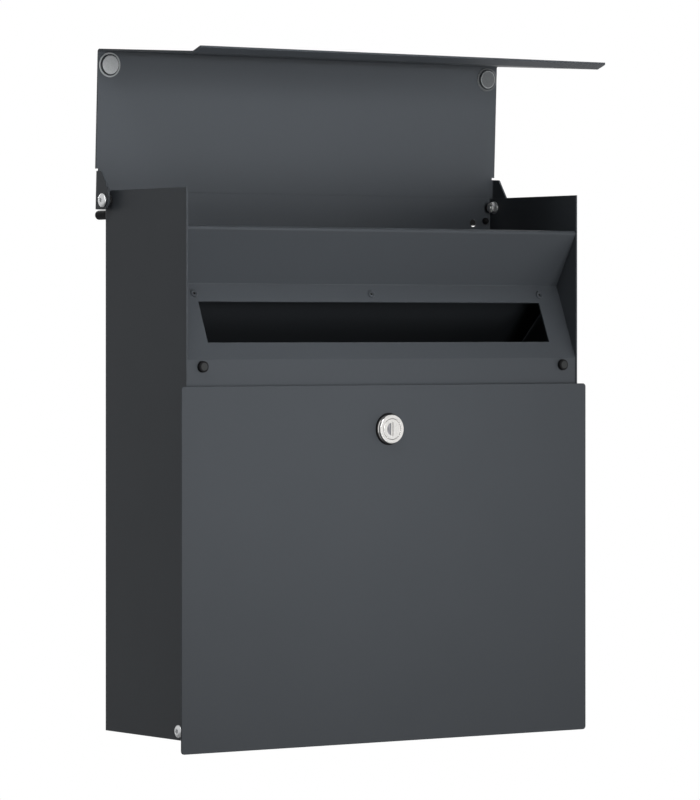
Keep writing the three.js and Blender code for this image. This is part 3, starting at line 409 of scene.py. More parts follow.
def clear_plastic(name, tint):
    """Soft clear plastic over the coat, with faint flow marks."""
    finish = Finish(name, Metallic=0.0, IOR=1.46, Specular_IOR_Level=0.3)
    flow = finish.noise(3 * MM, detail=3.0, distortion=1.2)
    cloudy = finish.noise(0.5 * MM, detail=2.0)
    pale = toned(tint, 1.35)
    return finish.drive(
        Base_Color=finish.mixed(finish.clamped(flow * 0.8 + cloudy * 0.3 - 0.2, 0.0, 1.0), tuple(tint), pale),
        Roughness=0.22 + cloudy * 0.12,
        Normal=finish.bump(flow, 0.02 * MM, 0.4),
    )


def painted_highlight_rim(pads):
    """Painted highlight on a pad's moulded rims: pale plastic standing in for the glints on their rounded
    edges.
    """
    finish = Finish("painted highlight rim", Metallic=0.0, IOR=1.46, Specular_IOR_Level=0.3)
    cloudy = finish.noise(0.6 * MM, detail=2.0)
    dull = toned(pads.rim, 0.8)
    return finish.drive(
        Base_Color=finish.mixed(cloudy, dull, tuple(pads.rim)),
        Roughness=0.3 + cloudy * 0.15,
        Normal=finish.bump(cloudy, 0.01 * MM, 0.4),
    )


def natural_nylon(fasteners):
    """Natural nylon, waxy and a little uneven."""
    finish = Finish("natural nylon", Metallic=0.0, Subsurface_Weight=0.08, Subsurface_Scale=0.001)
    clouds = finish.noise(1.2 * MM, detail=3.0)
    dull = toned(fasteners.nylon, 0.9)
    return finish.drive(
        Base_Color=finish.mixed(clouds, dull, tuple(fasteners.nylon)),
        Roughness=0.4 + clouds * 0.15,
        Normal=finish.bump(clouds, 0.01 * MM, 0.5),
    )


def painted_shade_groove(coat):
    """Painted shade in the groove of a pad: the coat under its thin floor, darkened."""
    finish = Finish("painted shade groove", Metallic=0.0, Specular_IOR_Level=0.2)
    haze = finish.noise(0.7 * MM, detail=2.0)
    dark = toned(coat.base, 0.35)
    return finish.drive(
        Base_Color=finish.mixed(haze, dark, toned(coat.base, 0.55)),
        Roughness=0.45 + haze * 0.15,
        Normal=finish.bump(haze, 0.01 * MM, 0.4),
    )


def black_nylon(fasteners):
    """Black nylon, waxy and a little uneven."""
    finish = Finish("black nylon", Metallic=0.0, Specular_IOR_Level=0.3)
    clouds = finish.noise(1.2 * MM, detail=3.0)
    worn = toned(fasteners.bush, 2)
    return finish.drive(
        Base_Color=finish.mixed(clouds, tuple(fasteners.bush), worn),
        Roughness=0.38 + clouds * 0.15,
        Normal=finish.bump(clouds, 0.01 * MM, 0.5),
    )


def pale_face_rubber(rubber):
    """The face of a buffer, a paler grey than the rest of its rubber."""
    finish = Finish("pale face rubber", Metallic=0.0, Specular_IOR_Level=0.1)
    face_mottle = finish.noise(0.9 * MM, detail=4.0, distortion=0.6)
    pores = finish.noise(0.14 * MM, detail=1.0)
    dark = toned(rubber.face_grey, 0.6)
    return finish.drive(
        Base_Color=finish.mixed(face_mottle, dark, tuple(rubber.face_grey)),
        Roughness=0.5 + face_mottle * 0.2,
        Normal=finish.bump(pores, 0.02 * MM, 0.5),
    )


def dark_hollow():
    """Painted shade for the inside of small holes and narrow gaps, where hardly any light comes out."""
    finish = Finish("dark hollow", Metallic=0.0, Specular_IOR_Level=0.1)
    shade_mottle = finish.noise(0.4 * MM, detail=2.0)
    return finish.drive(Base_Color=finish.mixed(shade_mottle, (0.004, 0.004, 0.004), (0.011, 0.011, 0.011)),
                        Roughness=0.75 + shade_mottle * 0.15, Normal=finish.bump(shade_mottle, 0.01 * MM, 0.5))


FINISH_MAKERS = {
    "powder_coat": lambda looks: powder_coat("powder coat", looks.coat),
    "painted_shade_coat": lambda looks: powder_coat("painted shade coat", looks.coat, looks.coat.inner),
    "plated_steel": lambda looks: zinc_plate(looks.fasteners),
    "nickel": lambda looks: nickel_plate(looks.lock, lock_centre()),
    "black_rubber": lambda looks: black_rubber(looks.rubber),
    "clear_pad": lambda looks: clear_plastic("clear plastic", looks.pads.tint),
    # The milky pad is a painted reflection: its pale disc stands in for a bright reflection.
    "painted_reflection_pad": lambda looks: clear_plastic("painted reflection plastic", looks.pads.reflection_tint),
    "black_nylon": lambda looks: black_nylon(looks.fasteners),
    "pale_nylon": lambda looks: natural_nylon(looks.fasteners),
    "recess_shade_steel": lambda looks: recess_shade_steel(looks.lock),
    "pale_face_rubber": lambda looks: pale_face_rubber(looks.rubber),
    "painted_highlight_rim": lambda looks: painted_highlight_rim(looks.pads),
    "painted_shade_groove": lambda looks: painted_shade_groove(looks.coat),
    "dark_hollow": lambda looks: dark_hollow(),
}
made_finishes = {}


def finish_of(slot, looks):
    """The material of a slot, made when it is first asked for."""
    if slot not in made_finishes:
        made_finishes[slot] = FINISH_MAKERS[slot](looks)
    return made_finishes[slot]


# Shapes
def middle(node):
    low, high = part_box(node)
    return (low + high) / 2


def across_x(node):
    """Radius, inner end, outer end and place on the axis of a node turned round a line along X."""
    low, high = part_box(node)
    ends = sorted((abs(low.x), abs(high.x)))
    centre = middle(node)
    return (high.z - low.z) / 2, *ends, Vector((0, centre.y, centre.z))


def lock_centre():
    centre = middle("lock_body")
    return Vector((centre.x, 0, centre.z))


def front_faces(bm, direction, level):
    """Flat faces that look along direction and lie at level, measured along it."""
    return [f for f in bm.faces if f.normal.dot(direction) > 0.999
            and abs(f.calc_center_median().dot(direction) - level) < WELD * 5]


def soften(bm, width, above, segments=2, choose=None):
    """Rounds the edges whose faces turn by more than an angle."""
    bm.normal_update()
    edges = [e for e in bm.edges if len(e.link_faces) == 2 and e.calc_face_angle() > above
             and (choose is None or choose(e))]
    if edges:
        bmesh.ops.bevel(bm, geom=edges, offset=width, offset_type="OFFSET", affect="EDGES", segments=segments,
                        profile=0.5, material=-1, clamp_overlap=True)


def spun(points, origin, axis, steps=48):
    """A shell from a profile of (radius, distance along the axis) points, turned once round the axis."""
    side = axis.orthogonal().normalized()
    bm = bmesh.new()
    verts = [bm.verts.new(origin + axis * along + side * radius) for radius, along in points]
    edges = [bm.edges.new(pair) for pair in zip(verts, verts[1:])]
    bmesh.ops.spin(bm, geom=verts + edges, cent=origin, axis=axis, angle=2 * math.pi, steps=steps,
                   use_merge=True, use_duplicate=False)
    bmesh.ops.remove_doubles(bm, verts=bm.verts, dist=WELD)
    bmesh.ops.recalc_face_normals(bm, faces=bm.faces)
    return bm


def open_loop(bm, point, axis):
    """The open edge loop that lies nearest a point along the axis."""
    edges = [e for e in bm.edges if e.is_boundary]
    level = min((abs((v.co - point).dot(axis)) for e in edges for v in e.verts))
    return [e for e in edges if all(abs(abs((v.co - point).dot(axis)) - level) < WELD * 5 for v in e.verts)]


def hex_corner(offset, axis, flats):
    """The offset from a hexagon's centre to its outline, in the direction of another offset."""
    across, up = axis.orthogonal().normalized(), axis.cross(axis.orthogonal()).normalized()
    turn = math.atan2(offset.dot(up), offset.dot(across))
    reach = flats / 2 / math.cos((turn % (math.pi / 3)) - math.pi / 6)
    return (across * math.cos(turn) + up * math.sin(turn)) * reach


def sink_socket(bm, centre, axis, flats, depth):
    """Closes the open loop at centre with a hexagonal socket, sunk against the axis."""
    rim = open_loop(bm, centre, axis)
    made = bmesh.ops.extrude_edge_only(bm, edges=rim)["geom"]
    for vert in (v for v in made if isinstance(v, bmesh.types.BMVert)):
        vert.co = centre + hex_corner(vert.co - centre, axis, flats)
    edges = [e for e in made if isinstance(e, bmesh.types.BMEdge)]
    sunk = bmesh.ops.extrude_edge_only(bm, edges=edges)["geom"]
    bmesh.ops.translate(bm, verts=[v for v in sunk if isinstance(v, bmesh.types.BMVert)], vec=-axis * depth)
    bmesh.ops.edgeloop_fill(bm, edges=[e for e in sunk if isinstance(e, bmesh.types.BMEdge)])
    bmesh.ops.recalc_face_normals(bm, faces=bm.faces)


def sleeve(bore, radius, low, high, origin, axis, steps=48):
    """A round sleeve with its bore, between two places along the axis."""
    return spun([(bore, low), (radius, low), (radius, high), (bore, high), (bore, low)], origin, axis, steps)


def hex_block(flats, bore, low, high, origin, axis):
    """A nut's hexagonal block with its bore, between two places along the axis."""
    bm = sleeve(bore, flats / 2, low, high, origin, axis)
    for vert in bm.verts:
        offset = vert.co - origin
        flat = offset - axis * offset.dot(axis)
        if flat.length > (bore + flats / 2) / 2:
            vert.co += flat.normalized() * (hex_corner(flat, axis, flats).length - flat.length)
    return bm


def cut_pocket(bm, centre, outline, facing, depth, slot, lined):
    """Sinks a convex outline, given as (x, z) points round a centre, into the flat front.

    The pocket's floor takes the finish in a slot of the piece, and so do its walls where it is lined.
    """
    level = centre.dot(facing)
    corners = [centre + Vector((x, 0, z)) for x, z in outline]
    inside = sum(corners, Vector()) / len(corners)
    sides = [(first, (second - first).cross(facing).normalized())
             for first, second in zip(corners, corners[1:] + corners[:1])]
    for first, across in sides:
        faces = front_faces(bm, facing, level)
        edges = dict.fromkeys(e for f in faces for e in f.edges)
        verts = dict.fromkeys(v for f in faces for v in f.verts)
        bmesh.ops.bisect_plane(bm, geom=[*faces, *edges, *verts], dist=WELD / 4, plane_co=first,
                               plane_no=across)
        bm.normal_update()

    def within(point):
        return all(across.dot(point - first) * across.dot(inside - first) > 0 for first, across in sides)

    pocket = [f for f in front_faces(bm, facing, level) if within(f.calc_center_median())]
    made = bmesh.ops.extrude_face_region(bm, geom=pocket)["geom"]
    sunk = [v for v in made if isinstance(v, bmesh.types.BMVert)]
    bmesh.ops.translate(bm, verts=sunk, vec=-facing * depth)
    bmesh.ops.delete(bm, geom=[f for f in pocket if f.is_valid], context="FACES_ONLY")
    floor = [f for f in made if isinstance(f, bmesh.types.BMFace)]
    for face in {f for v in sunk for f in v.link_faces} if lined else floor:
        face.material_index = slot
    bmesh.ops.dissolve_limit(bm, angle_limit=FLAT_ANGLE, verts=bm.verts, edges=bm.edges,
                             delimit={"MATERIAL"})


def as_piece(bm, name, node, looks, extra=()):
    """Makes the shape a piece that stands for a node, rides on its body and takes its finish."""
    for face in bm.faces:
        face.smooth = True
    for edge in bm.edges:
        edge.smooth = len(edge.link_faces) == 2 and edge.calc_face_angle() < SHARP_ANGLE
    mesh = bpy.data.meshes.new(name)
    bm.to_mesh(mesh)
    bm.free()
    for slot in (SLOT_OF[node], *extra):
        mesh.materials.append(finish_of(slot, looks))
    piece = bpy.data.objects.new(name, mesh)
    bpy.context.scene.collection.objects.link(piece)
    normals = piece.modifiers.new("Even shading", "WEIGHTED_NORMAL")
    normals.mode, normals.weight, normals.keep_sharp = "FACE_AREA", 50, True
    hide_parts(node)
    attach(piece, BODY_OF[node])
    return piece


def softened_copy(node, width, looks, finish=None):
    """The node's own shape with its cut edges rounded, in a finish of its own where one is given."""
    bm = bmesh.new()
    bm.from_mesh(frame["nodes"][node].data)
    bmesh.ops.remove_doubles(bm, verts=bm.verts, dist=WELD)
    bmesh.ops.dissolve_limit(bm, angle_limit=FLAT_ANGLE, verts=bm.verts, edges=bm.edges)
    soften(bm, width, SHARP_ANGLE)
    if finish is None:
        return as_piece(bm, f"{node}_finished", node, looks)
    for face in bm.faces:
        face.material_index = 1
    return as_piece(bm, f"{node}_finished", node, looks, (finish,))


# Pieces, one operator for each or for each group of like pieces
class MAILBOX_OT_sheets(bpy.types.Operator):
    """Coats the folded sheets and rounds their cut edges"""
    bl_idname = "mailbox.sheets"
    bl_label = "Coated sheets"

    def execute(self, context):
        looks = context.scene.mailbox
        for node in SHEETS:
            # The shelf takes the coat darkened as painted shade.
            softened_copy(node, looks.coat.edge_round, looks, "painted_shade_coat" if node == SHADE_PAINTED_SHEET else None)
        return {"FINISHED"}


class MAILBOX_OT_screws(bpy.types.Operator):
    """Makes the button-head screws of the lid and door hinges"""
    bl_idname = "mailbox.screws"
    bl_label = "Hinge screws"

    HEAD_HEIGHT, POINT = 2.45 * MM, 0.6 * MM

    def execute(self, context):
        looks = context.scene.mailbox
        for hinge in ("lid_pivot", "door_hinge"):
            for side, outward in SIDES:
                self.screw(f"{hinge}_screw_{side}", outward, looks)
        return {"FINISHED"}

    def screw(self, node, outward, looks):
        radius, end, top, origin = across_x(node)
        shank, base = looks.fasteners.shank_radius, top - self.HEAD_HEIGHT
        rim, crown = base + 0.25 * self.HEAD_HEIGHT, 0.75 * self.HEAD_HEIGHT
        turns = [math.pi / 2 * i / 9 for i in range(7)]
        dome = [(radius * math.cos(t), rim + crown * math.sin(t)) for t in turns]
        bm = spun([(0, end), (shank * 0.8, end), (shank, end + self.POINT), (shank, base), (radius, base),
                   *dome], origin, outward)
        crest = origin + outward * dome[-1][1]
        sink_socket(bm, crest, outward, looks.fasteners.key_flats, looks.fasteners.key_depth)
        soften(bm, 0.18 * MM, BLUNT_ANGLE)
        as_piece(bm, f"{node}_finished", node, looks)


class MAILBOX_OT_nuts(bpy.types.Operator):
    """Makes the lock nuts, washers and bushes of the hinges and the nut behind the lock"""
    bl_idname = "mailbox.nuts"
    bl_label = "Nuts and washers"

    COLLAR_HEIGHT = 1 * MM

    def execute(self, context):
        looks = context.scene.mailbox
        for hinge in ("lid_pivot", "door_hinge"):
            for side, outward in SIDES:
                self.nut(f"{hinge}_nut_{side}", outward, looks)
                self.ring(f"{hinge}_washer_{side}", outward, 0.15 * MM, looks)
        for side, outward in SIDES:
            self.ring(f"lid_pivot_bush_{side}", outward, 0.3 * MM, looks)
        softened_copy("lock_back_nut", 0.4 * MM, looks)
        return {"FINISHED"}

    def nut(self, node, outward, looks):
        low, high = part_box(node)
        _, inner, outer, origin = across_x(node)
        flats, step = min(high.y - low.y, high.z - low.z), inner + self.COLLAR_HEIGHT
        bore, collar = looks.fasteners.shank_radius + CLEARANCE, looks.fasteners.nut_collar
        bm = hex_block(flats, bore, step, outer, origin, outward)
        soften(bm, 0.3 * MM, EDGE_ANGLE)
        ring = sleeve(bore, collar, inner, step, origin, outward)
        soften(ring, 0.25 * MM, EDGE_ANGLE)
        for face in ring.faces:
            face.material_index = 1
        both = bpy.data.meshes.new("collar")
        ring.to_mesh(both)
        ring.free()
        bm.from_mesh(both)
        bpy.data.meshes.remove(both)
        as_piece(bm, f"{node}_finished", node, looks, ("pale_nylon",))

    def ring(self, node, outward, width, looks):
        radius, inner, outer, origin = across_x(node)
        bm = sleeve(looks.fasteners.shank_radius + CLEARANCE, radius, inner, outer, origin, outward)
        soften(bm, width, EDGE_ANGLE)
        as_piece(bm, f"{node}_finished", node, looks)


class MAILBOX_OT_rivets(bpy.types.Operator):
    """Makes the blind rivets above the letter slot"""
    bl_idname = "mailbox.rivets"
    bl_label = "Slot rivets"

    # How far behind the facet a rivet's grip, its upset tail and its pin end, in millimetres
    GRIP, UPSET, END = -2.65, -3.9, -5.15

    def execute(self, context):
        looks = context.scene.mailbox
        facet, outward = self.slot_facet()
        for place in ("left", "centre", "right"):
            node = f"slot_rivet_{place}"
            centre = self.mean_corner(node)
            face = centre - outward * (centre - facet).dot(outward)
            parts = looks.fasteners
            bore, head, body, tail = parts.rivet_bore, parts.rivet_head, parts.rivet_body, parts.rivet_tail
            heights = [(0, 0.15), (bore * 0.8, 0.15), (bore, 0.35),
                       (head * 0.55, 1.1), (head * 0.72, 1.1), (head * 0.9, 0.98), (head, 0.45),
                       (head, 0.2), (body, 0.2), (body, self.GRIP), (tail, self.GRIP), (tail, self.UPSET),
                       (bore, self.END), (0, self.END)]
            bm = spun([(radius, height * MM) for radius, height in heights], face, outward, steps=32)
            soften(bm, 0.12 * MM, BLUNT_ANGLE)
            bm.normal_update()
            # The faces in the pin's bore take the dark hollow, painted shade.
            for f in bm.faces:
                across = f.calc_center_median() - face
                along = across.dot(outward)
                if along > 0.05 * MM and (across - outward * along).length < bore * 0.97:
                    f.material_index = 1
            as_piece(bm, f"{node}_finished", node, looks, ("dark_hollow",))
        return {"FINISHED"}

    def slot_facet(self):
        """A place on the slanted facet round the letter slot, and the direction it faces."""
        sheet = frame["nodes"]["slot_panel"].data
        slanted = (f for f in sheet.polygons if f.normal.y < -0.5 and f.normal.z > 0.2)
        facet = max(slanted, key=lambda f: f.area)
        return facet.center.copy(), facet.normal.copy()

    def mean_corner(self, node):
        """The mean of a turned node's corners, which lies on its axis."""
        corners = {tuple(round(c / WELD) for c in v.co): v.co for v in frame["nodes"][node].data.vertices}
        return sum(corners.values(), Vector()) / len(corners)


class MAILBOX_OT_rubber(bpy.types.Operator):
    """Makes the wall spacers, the lid's buffers and the ring under the lock"""
    bl_idname = "mailbox.rubber"
    bl_label = "Rubber pieces"

    # How far a buffer stands out of its facet, and how long a spacer's barb is
    PROUD, BARB = 3 * MM, 3 * MM

    def execute(self, context):
        looks = context.scene.mailbox
        for level in ("upper", "lower"):
            for side, _ in SIDES:
                self.spacer(f"wall_spacer_{level}_{side}", looks)
        for side, _ in SIDES:
            self.buffer(f"lid_buffer_{side}", looks)
        self.ring("lock_gasket", looks)
        return {"FINISHED"}

    def spacer(self, node, looks):
        rubber = looks.rubber
        low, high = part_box(node)
        centre = Vector(((low.x + high.x) / 2, 0, (low.z + high.z) / 2))
        radius, sheet = (high.x - low.x) / 2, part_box("housing_shell")[1].y
        barb = low.y + self.BARB
        points = [(0, low.y), (rubber.spacer_stem, low.y), (rubber.spacer_barb, (low.y + barb) / 2),
                  (rubber.spacer_barb, barb), (rubber.spacer_stem, barb), (rubber.spacer_stem, sheet),
                  (radius, sheet), (radius, high.y), (0, high.y)]
        bm = spun(points, centre, BACKWARD)
        soften(bm, rubber.spacer_round, CORNER_ANGLE, 5, lambda e: all(v.co.y > -MM for v in e.verts))
        soften(bm, 0.3 * MM, CORNER_ANGLE, 2, lambda e: all(v.co.y < -MM for v in e.verts))
        as_piece(bm, f"{node}_finished", node, looks)

    def buffer(self, node, looks):
        low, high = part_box(node)
        centre = Vector(((low.x + high.x) / 2, 0, (low.z + high.z) / 2))
        radius, back, barb = (high.x - low.x) / 2, low.y + self.PROUD, high.y - 2.5 * MM
        face, stem, rim = looks.rubber.buffer_face, looks.rubber.buffer_stem, low.y + 0.15 * MM
        points = [(0, low.y), (face, low.y), (face + 0.12 * MM, rim), (radius * 0.96, rim), (radius, back),
                  (stem, back), (stem, barb), (stem + 0.8 * MM, barb), (stem, high.y), (0, high.y)]

        def on_rim(vert):
            return vert.co.y < low.y + MM and (vert.co - centre).xz.length > face + 0.2 * MM

        bm = spun(points, centre, BACKWARD)
        soften(bm, looks.rubber.buffer_round, CORNER_ANGLE, 4, lambda e: all(map(on_rim, e.verts)))
        for polygon in bm.faces:
            if polygon.calc_center_median().y < low.y + 0.02 * MM:
                polygon.material_index = 1
        as_piece(bm, f"{node}_finished", node, looks, ("pale_face_rubber",))

    def ring(self, node, looks):
        low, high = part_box(node)
        radius, bore = (high.x - low.x) / 2, looks.lock.barrel_radius + CLEARANCE
        points = [(bore, low.y), (radius * 0.97, low.y), (radius, high.y), (bore, high.y), (bore, low.y)]
        bm = spun(points, lock_centre(), BACKWARD, steps=72)
        soften(bm, 0.35 * MM, EDGE_ANGLE, 3, lambda e: all(v.co.y < low.y + 0.3 * MM for v in e.verts))
        as_piece(bm, f"{node}_finished", node, looks)


class MAILBOX_OT_pads(bpy.types.Operator):
    """Makes the clear pads under the lid's front corners"""
    bl_idname = "mailbox.pads"
    bl_label = "Clear pads"

    # Side, and the places of its disc's, disc edge's and outer rim's finishes among the piece's own: the left
    # pad's disc and disc edge carry a painted reflection and its outer rim a painted highlight; the right one
    # is clear, with a painted highlight round its disc's edge
    CLEAR, PAINTED_HIGHLIGHT, GROOVE, PAINTED_REFLECTION = range(4)
    FINISHES = (("left", PAINTED_REFLECTION, PAINTED_REFLECTION, PAINTED_HIGHLIGHT), ("right", CLEAR, PAINTED_HIGHLIGHT, CLEAR))
    HEIGHT = 1.8 * MM

    lean: angle(87.7, "Lid angle", "How far the lid stands open")

    def execute(self, context):
        looks = context.scene.mailbox
        pads = looks.pads
        facing = Matrix.Rotation(-self.lean, 3, "X") @ Vector((0, 0, -1))
        height = self.HEIGHT
        for side, disc_finish, edge_finish, rim_finish in self.FINISHES:
            node = f"lid_pad_{side}"
            low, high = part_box(node)
            radius, seat = (high.x - low.x) / 2, (low + high) / 2 - facing * height / 2
            rim, disc, floor = radius - pads.rim_width, pads.disc_radius, pads.groove_floor
            edge, blend = pads.rim_height, 0.3 * MM
            points = [(0, height), (disc - pads.disc_edge, height), (disc * 0.97, height * 0.94),
                      (disc, height * 0.78), (disc, floor), (rim, floor), (rim, edge * 0.8),
                      (rim + blend, edge), (radius - blend, edge), (radius, edge * 0.6), (radius, 0), (0, 0)]
            bm = spun(points, seat, facing, steps=64)
            soften(bm, 0.1 * MM, CORNER_ANGLE)
            for face in bm.faces:
                offset = face.calc_center_median() - seat
                out, along = (offset - facing * offset.dot(facing)).length, offset.dot(facing)
                if out > rim - 0.05 * MM:
                    face.material_index = rim_finish
                elif out > disc - 0.15 * MM and along < height * 0.6:
                    face.material_index = self.GROOVE
                else:
                    face.material_index = edge_finish if out > disc - pads.disc_edge else disc_finish
            as_piece(bm, f"{node}_finished", node, looks, ("painted_highlight_rim", "painted_shade_groove", "painted_reflection_pad"))
        return {"FINISHED"}


class MAILBOX_OT_lock(bpy.types.Operator):
    """Makes the cam lock: its body, its turning plug and the cam with its screw"""
    bl_idname = "mailbox.lock"
    bl_label = "Cam lock"

    KEYWAY_DEPTH, TANG_WIDTH = 8 * MM, 7 * MM

    def execute(self, context):
        looks = context.scene.mailbox
        self.body(looks)
        self.plug(looks)
        softened_copy("lock_cam", 0.25 * MM, looks)
        softened_copy("lock_cam_screw", 0.2 * MM, looks)
        return {"FINISHED"}

    def body(self, looks):
        lock = looks.lock
        low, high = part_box("lock_body")
        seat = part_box("lock_gasket")[0].y
        radius, bore = (high.x - low.x) / 2, lock.shank_radius + lock.gap
        recess, floor = lock.head_radius + lock.gap, low.y + lock.head_height + lock.gap
        collar, neck = seat - lock.collar, radius - lock.collar_slope
        groove = collar - lock.groove
        points = [(bore, floor), (recess, floor), (recess, low.y), (radius - lock.chamfer, low.y),
                  (radius, low.y + lock.chamfer), (radius, groove), (neck, groove), (neck, collar),
                  (radius, seat), (lock.barrel_radius, seat), (lock.barrel_radius, high.y), (bore, high.y),
                  (bore, floor)]
        bm = spun(points, lock_centre(), BACKWARD, steps=96)
        middle_height, half = lock_centre().z, lock.barrel_flats / 2
        for vert in bm.verts:
            if vert.co.y > seat - WELD and (vert.co - lock_centre()).xz.length < lock.barrel_radius + WELD:
                vert.co.z = middle_height + max(-half, min(half, vert.co.z - middle_height))
        soften(bm, 0.12 * MM, RIM_ANGLE, 2, lambda e: all(v.co.y < seat + WELD for v in e.verts))
        self.paint_gap_shade(bm, recess + lock.gap / 2, low.y, floor)
        as_piece(bm, "lock_body_finished", "lock_body", looks, ("dark_hollow",))

    def paint_gap_shade(self, bm, reach, front, floor):
        """The narrow gap round the plug gets painted shade: its walls within reach of the axis go dark."""
        bm.normal_update()
        for face in bm.faces:
            place = face.calc_center_median()
            if front + 0.1 * MM < place.y < floor + WELD and (place - lock_centre()).xz.length < reach:
                face.material_index = 1

    def plug(self, looks):
        lock = looks.lock
        low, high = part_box("lock_plug")
        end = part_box("lock_body")[1].y
        centre = lock_centre() + Vector((0, low.y, 0))
        points = [(lock.head_radius, low.y), (lock.head_radius, low.y + lock.head_height),
                  (lock.shank_radius, low.y + lock.head_height), (lock.shank_radius, end), (0, end)]
        bm = spun(points, lock_centre(), BACKWARD, steps=96)
        rim = open_loop(bm, centre, FRONTWARD)
        bmesh.ops.edgeloop_fill(bm, edges=rim)
        bmesh.ops.recalc_face_normals(bm, faces=bm.faces)
        soften(bm, 0.14 * MM, CORNER_ANGLE, 2, lambda e: all(v.co.y < low.y + WELD for v in e.verts))
        self.paint_gap_shade(bm, lock.head_radius + lock.gap / 2, low.y + 0.1 * MM, low.y + lock.head_height)
        bm.normal_update()
        left, right = lock.keyway_offset - lock.keyway_width / 2, lock.keyway_offset + lock.keyway_width / 2
        tall = lock.keyway_height / 2
        # The keyway's floor and walls take the dark hollow, painted shade.
        cut_pocket(bm, centre, [(left, -tall), (right, -tall), (right, tall), (left, tall)], FRONTWARD,
                   self.KEYWAY_DEPTH, 1, lined=True)
        arc = [math.pi / 2 + math.pi * i / 16 for i in range(17)]
        wide, high_half = lock.shutter_width, lock.shutter_height / 2
        moon = [(-lock.shutter_offset + wide * math.cos(t), high_half * math.sin(t)) for t in arc]
        bm.normal_update()
        # The half-moon recess's floor takes the dark steel, painted shade.
        cut_pocket(bm, centre, moon, FRONTWARD, lock.shutter_depth, 2, lined=False)
        size = Vector((self.TANG_WIDTH, high.y - end, self.TANG_WIDTH))
        for vert in bmesh.ops.create_cube(bm, size=1)["verts"]:
            vert.co = vert.co * size + lock_centre() + Vector((0, end + size.y / 2, 0))
        as_piece(bm, "lock_plug_finished", "lock_plug", looks, ("dark_hollow", "recess_shade_steel"))


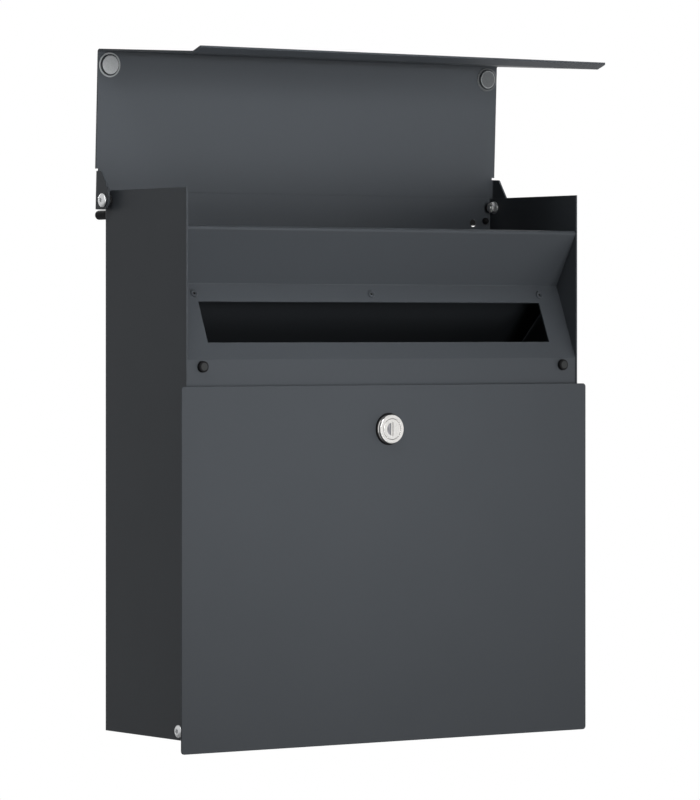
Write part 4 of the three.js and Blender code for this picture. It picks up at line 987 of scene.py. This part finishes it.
class MAILBOX_OT_studio(bpy.types.Operator):
    """Sets up the camera, the pale floor, the background and the soft lamps"""
    bl_idname = "mailbox.studio"
    bl_label = "Studio"

    # Name, place, point it looks at, width, height, power in watts, spread in degrees. The front lamps stand
    # low, so that the sheets that face forward are the brightest. Gridded ones lift the door and the lid, and
    # the strip the inside of the open lid. The rest light the other sides.
    LAMPS = (
        ("front panel", (0.66, -2.6, -0.4), (0.0, -0.13, 0.22), 0.9, 0.9, 22, 180),
        ("side panel", (2.24, -1.42, 0.0), (0.0, -0.12, 0.22), 2.0, 2.0, 18, 180),
        ("gridded front", (-0.1, -1.6, 0.53), (-0.1, -0.12, 0.3), 0.5, 0.5, 0.55, 28),
        ("gridded left", (-0.89, -0.74, 1.6), (-0.15, -0.12, 0.45), 0.5, 0.5, 0.3, 28),
        ("lid strip", (-0.3, -1.6, 0.45), (-0.06, -0.01, 0.48), 0.6, 0.04, 0.11, 8),
        ("top", (0.1, -0.1, 2.4), (0.0, -0.1, 0.25), 1.2, 1.2, 6, 180),
        ("right", (2.6, 0.5, 1.0), (0.0, -0.06, 0.25), 1.2, 1.2, 30, 180),
        ("back", (0.7, 2.5, 1.2), (0.0, 0.0, 0.25), 1.2, 1.2, 45, 180),
    )

    def execute(self, context):
        studio = context.scene.mailbox.studio
        self.camera(context.scene, studio)
        self.floor(context.scene, studio)
        self.background(context.scene, studio)
        for lamp in self.LAMPS:
            self.lamp(context.scene, *lamp)
        context.scene.view_settings.view_transform = "Standard"
        return {"FINISHED"}

    def camera(self, scene, studio):
        data = bpy.data.cameras.new("camera")
        data.lens, data.shift_y = studio.camera_lens, studio.camera_rise
        data.clip_start, data.clip_end = 0.05, 60
        camera = bpy.data.objects.new("camera", data)
        camera.location = studio.camera_place
        camera.rotation_euler = (math.pi / 2, 0, -studio.camera_turn)
        scene.collection.objects.link(camera)
        scene.camera = camera

    def floor(self, scene, studio):
        bm = bmesh.new()
        bmesh.ops.create_grid(bm, x_segments=1, y_segments=1, size=studio.floor_size / 2)
        bmesh.ops.translate(bm, verts=bm.verts, vec=(0, 0, CAD_BOX[0].z - studio.floor_drop))
        mesh = bpy.data.meshes.new("floor")
        bm.to_mesh(mesh)
        bm.free()
        finish = Finish("pale floor", Metallic=0.0)
        clouds = finish.noise(0.4, detail=3.0)
        shade = toned(studio.floor, 0.97)
        mesh.materials.append(finish.drive(Base_Color=finish.mixed(clouds, shade, tuple(studio.floor)),
                                           Roughness=0.85 + clouds * 0.1))
        floor = bpy.data.objects.new("floor", mesh)
        scene.collection.objects.link(floor)

    def background(self, scene, studio):
        world = scene.world or bpy.data.worlds.new("studio")
        scene.world = world
        world.use_nodes = True
        nodes, links = world.node_tree.nodes, world.node_tree.links
        nodes.clear()
        path, seen = nodes.new("ShaderNodeLightPath"), nodes.new("ShaderNodeMath")
        either, mix = nodes.new("ShaderNodeMath"), nodes.new("ShaderNodeMixShader")
        light, white = nodes.new("ShaderNodeBackground"), nodes.new("ShaderNodeBackground")
        output = nodes.new("ShaderNodeOutputWorld")
        seen.operation = either.operation = "MAXIMUM"
        light.inputs["Color"].default_value = white.inputs["Color"].default_value = (1, 1, 1, 1)
        light.inputs["Strength"].default_value, white.inputs["Strength"].default_value = studio.ambient, 1
        for source, target in (
                (path.outputs["Is Camera Ray"], seen.inputs[0]),
                (path.outputs["Is Glossy Ray"], seen.inputs[1]),
                (seen.outputs[0], either.inputs[0]),
                (path.outputs["Is Transmission Ray"], either.inputs[1]),
                (either.outputs[0], mix.inputs[0]), (light.outputs[0], mix.inputs[1]),
                (white.outputs[0], mix.inputs[2]), (mix.outputs[0], output.inputs["Surface"])):
            links.new(source, target)

    def lamp(self, scene, name, place, target, width, height, power, spread):
        data = bpy.data.lights.new(name, "AREA")
        data.shape, data.size, data.size_y = "RECTANGLE", width, height
        data.energy, data.spread = power, math.radians(spread)
        lamp = bpy.data.objects.new(name, data)
        lamp.location = place
        lamp.rotation_euler = (Vector(target) - Vector(place)).to_track_quat("-Z", "Y").to_euler()
        scene.collection.objects.link(lamp)


class MAILBOX_PT_panel(bpy.types.Panel):
    """Lists the mailbox's operators"""
    bl_idname = "MAILBOX_PT_panel"
    bl_label = "Wall mailbox"
    bl_space_type = "VIEW_3D"
    bl_region_type = "UI"
    bl_category = "Mailbox"

    def draw(self, context):
        for operator in OPERATORS:
            self.layout.operator(operator.bl_idname)


SETTINGS = (CoatSettings, FastenerSettings, RubberSettings, PadSettings, LockSettings, StudioSettings,
            MailboxSettings)
OPERATORS = (MAILBOX_OT_studio, MAILBOX_OT_sheets, MAILBOX_OT_screws, MAILBOX_OT_nuts, MAILBOX_OT_rivets,
             MAILBOX_OT_rubber, MAILBOX_OT_pads, MAILBOX_OT_lock)


def register():
    for made in (*SETTINGS, *OPERATORS, MAILBOX_PT_panel):
        bpy.utils.register_class(made)
    bpy.types.Scene.mailbox = bpy.props.PointerProperty(type=MailboxSettings, name="Mailbox",
                                                        description="Sizes and colours of the mailbox")


def unregister():
    del bpy.types.Scene.mailbox
    for made in reversed((*SETTINGS, *OPERATORS, MAILBOX_PT_panel)):
        bpy.utils.unregister_class(made)


def give_nodes_their_finishes():
    """Every node of the frame takes the finish of its slot, shown or not."""
    for node, thing in frame["nodes"].items():
        thing.data.materials.clear()
        thing.data.materials.append(finish_of(SLOT_OF[node], bpy.context.scene.mailbox))


def main():
    register()
    bpy.ops.mailbox.studio()
    bpy.ops.mailbox.sheets()
    bpy.ops.mailbox.screws()
    bpy.ops.mailbox.nuts()
    bpy.ops.mailbox.rivets()
    bpy.ops.mailbox.rubber()
    bpy.ops.mailbox.pads()
    bpy.ops.mailbox.lock()
    give_nodes_their_finishes()


if __name__ == "__main__":
    main()
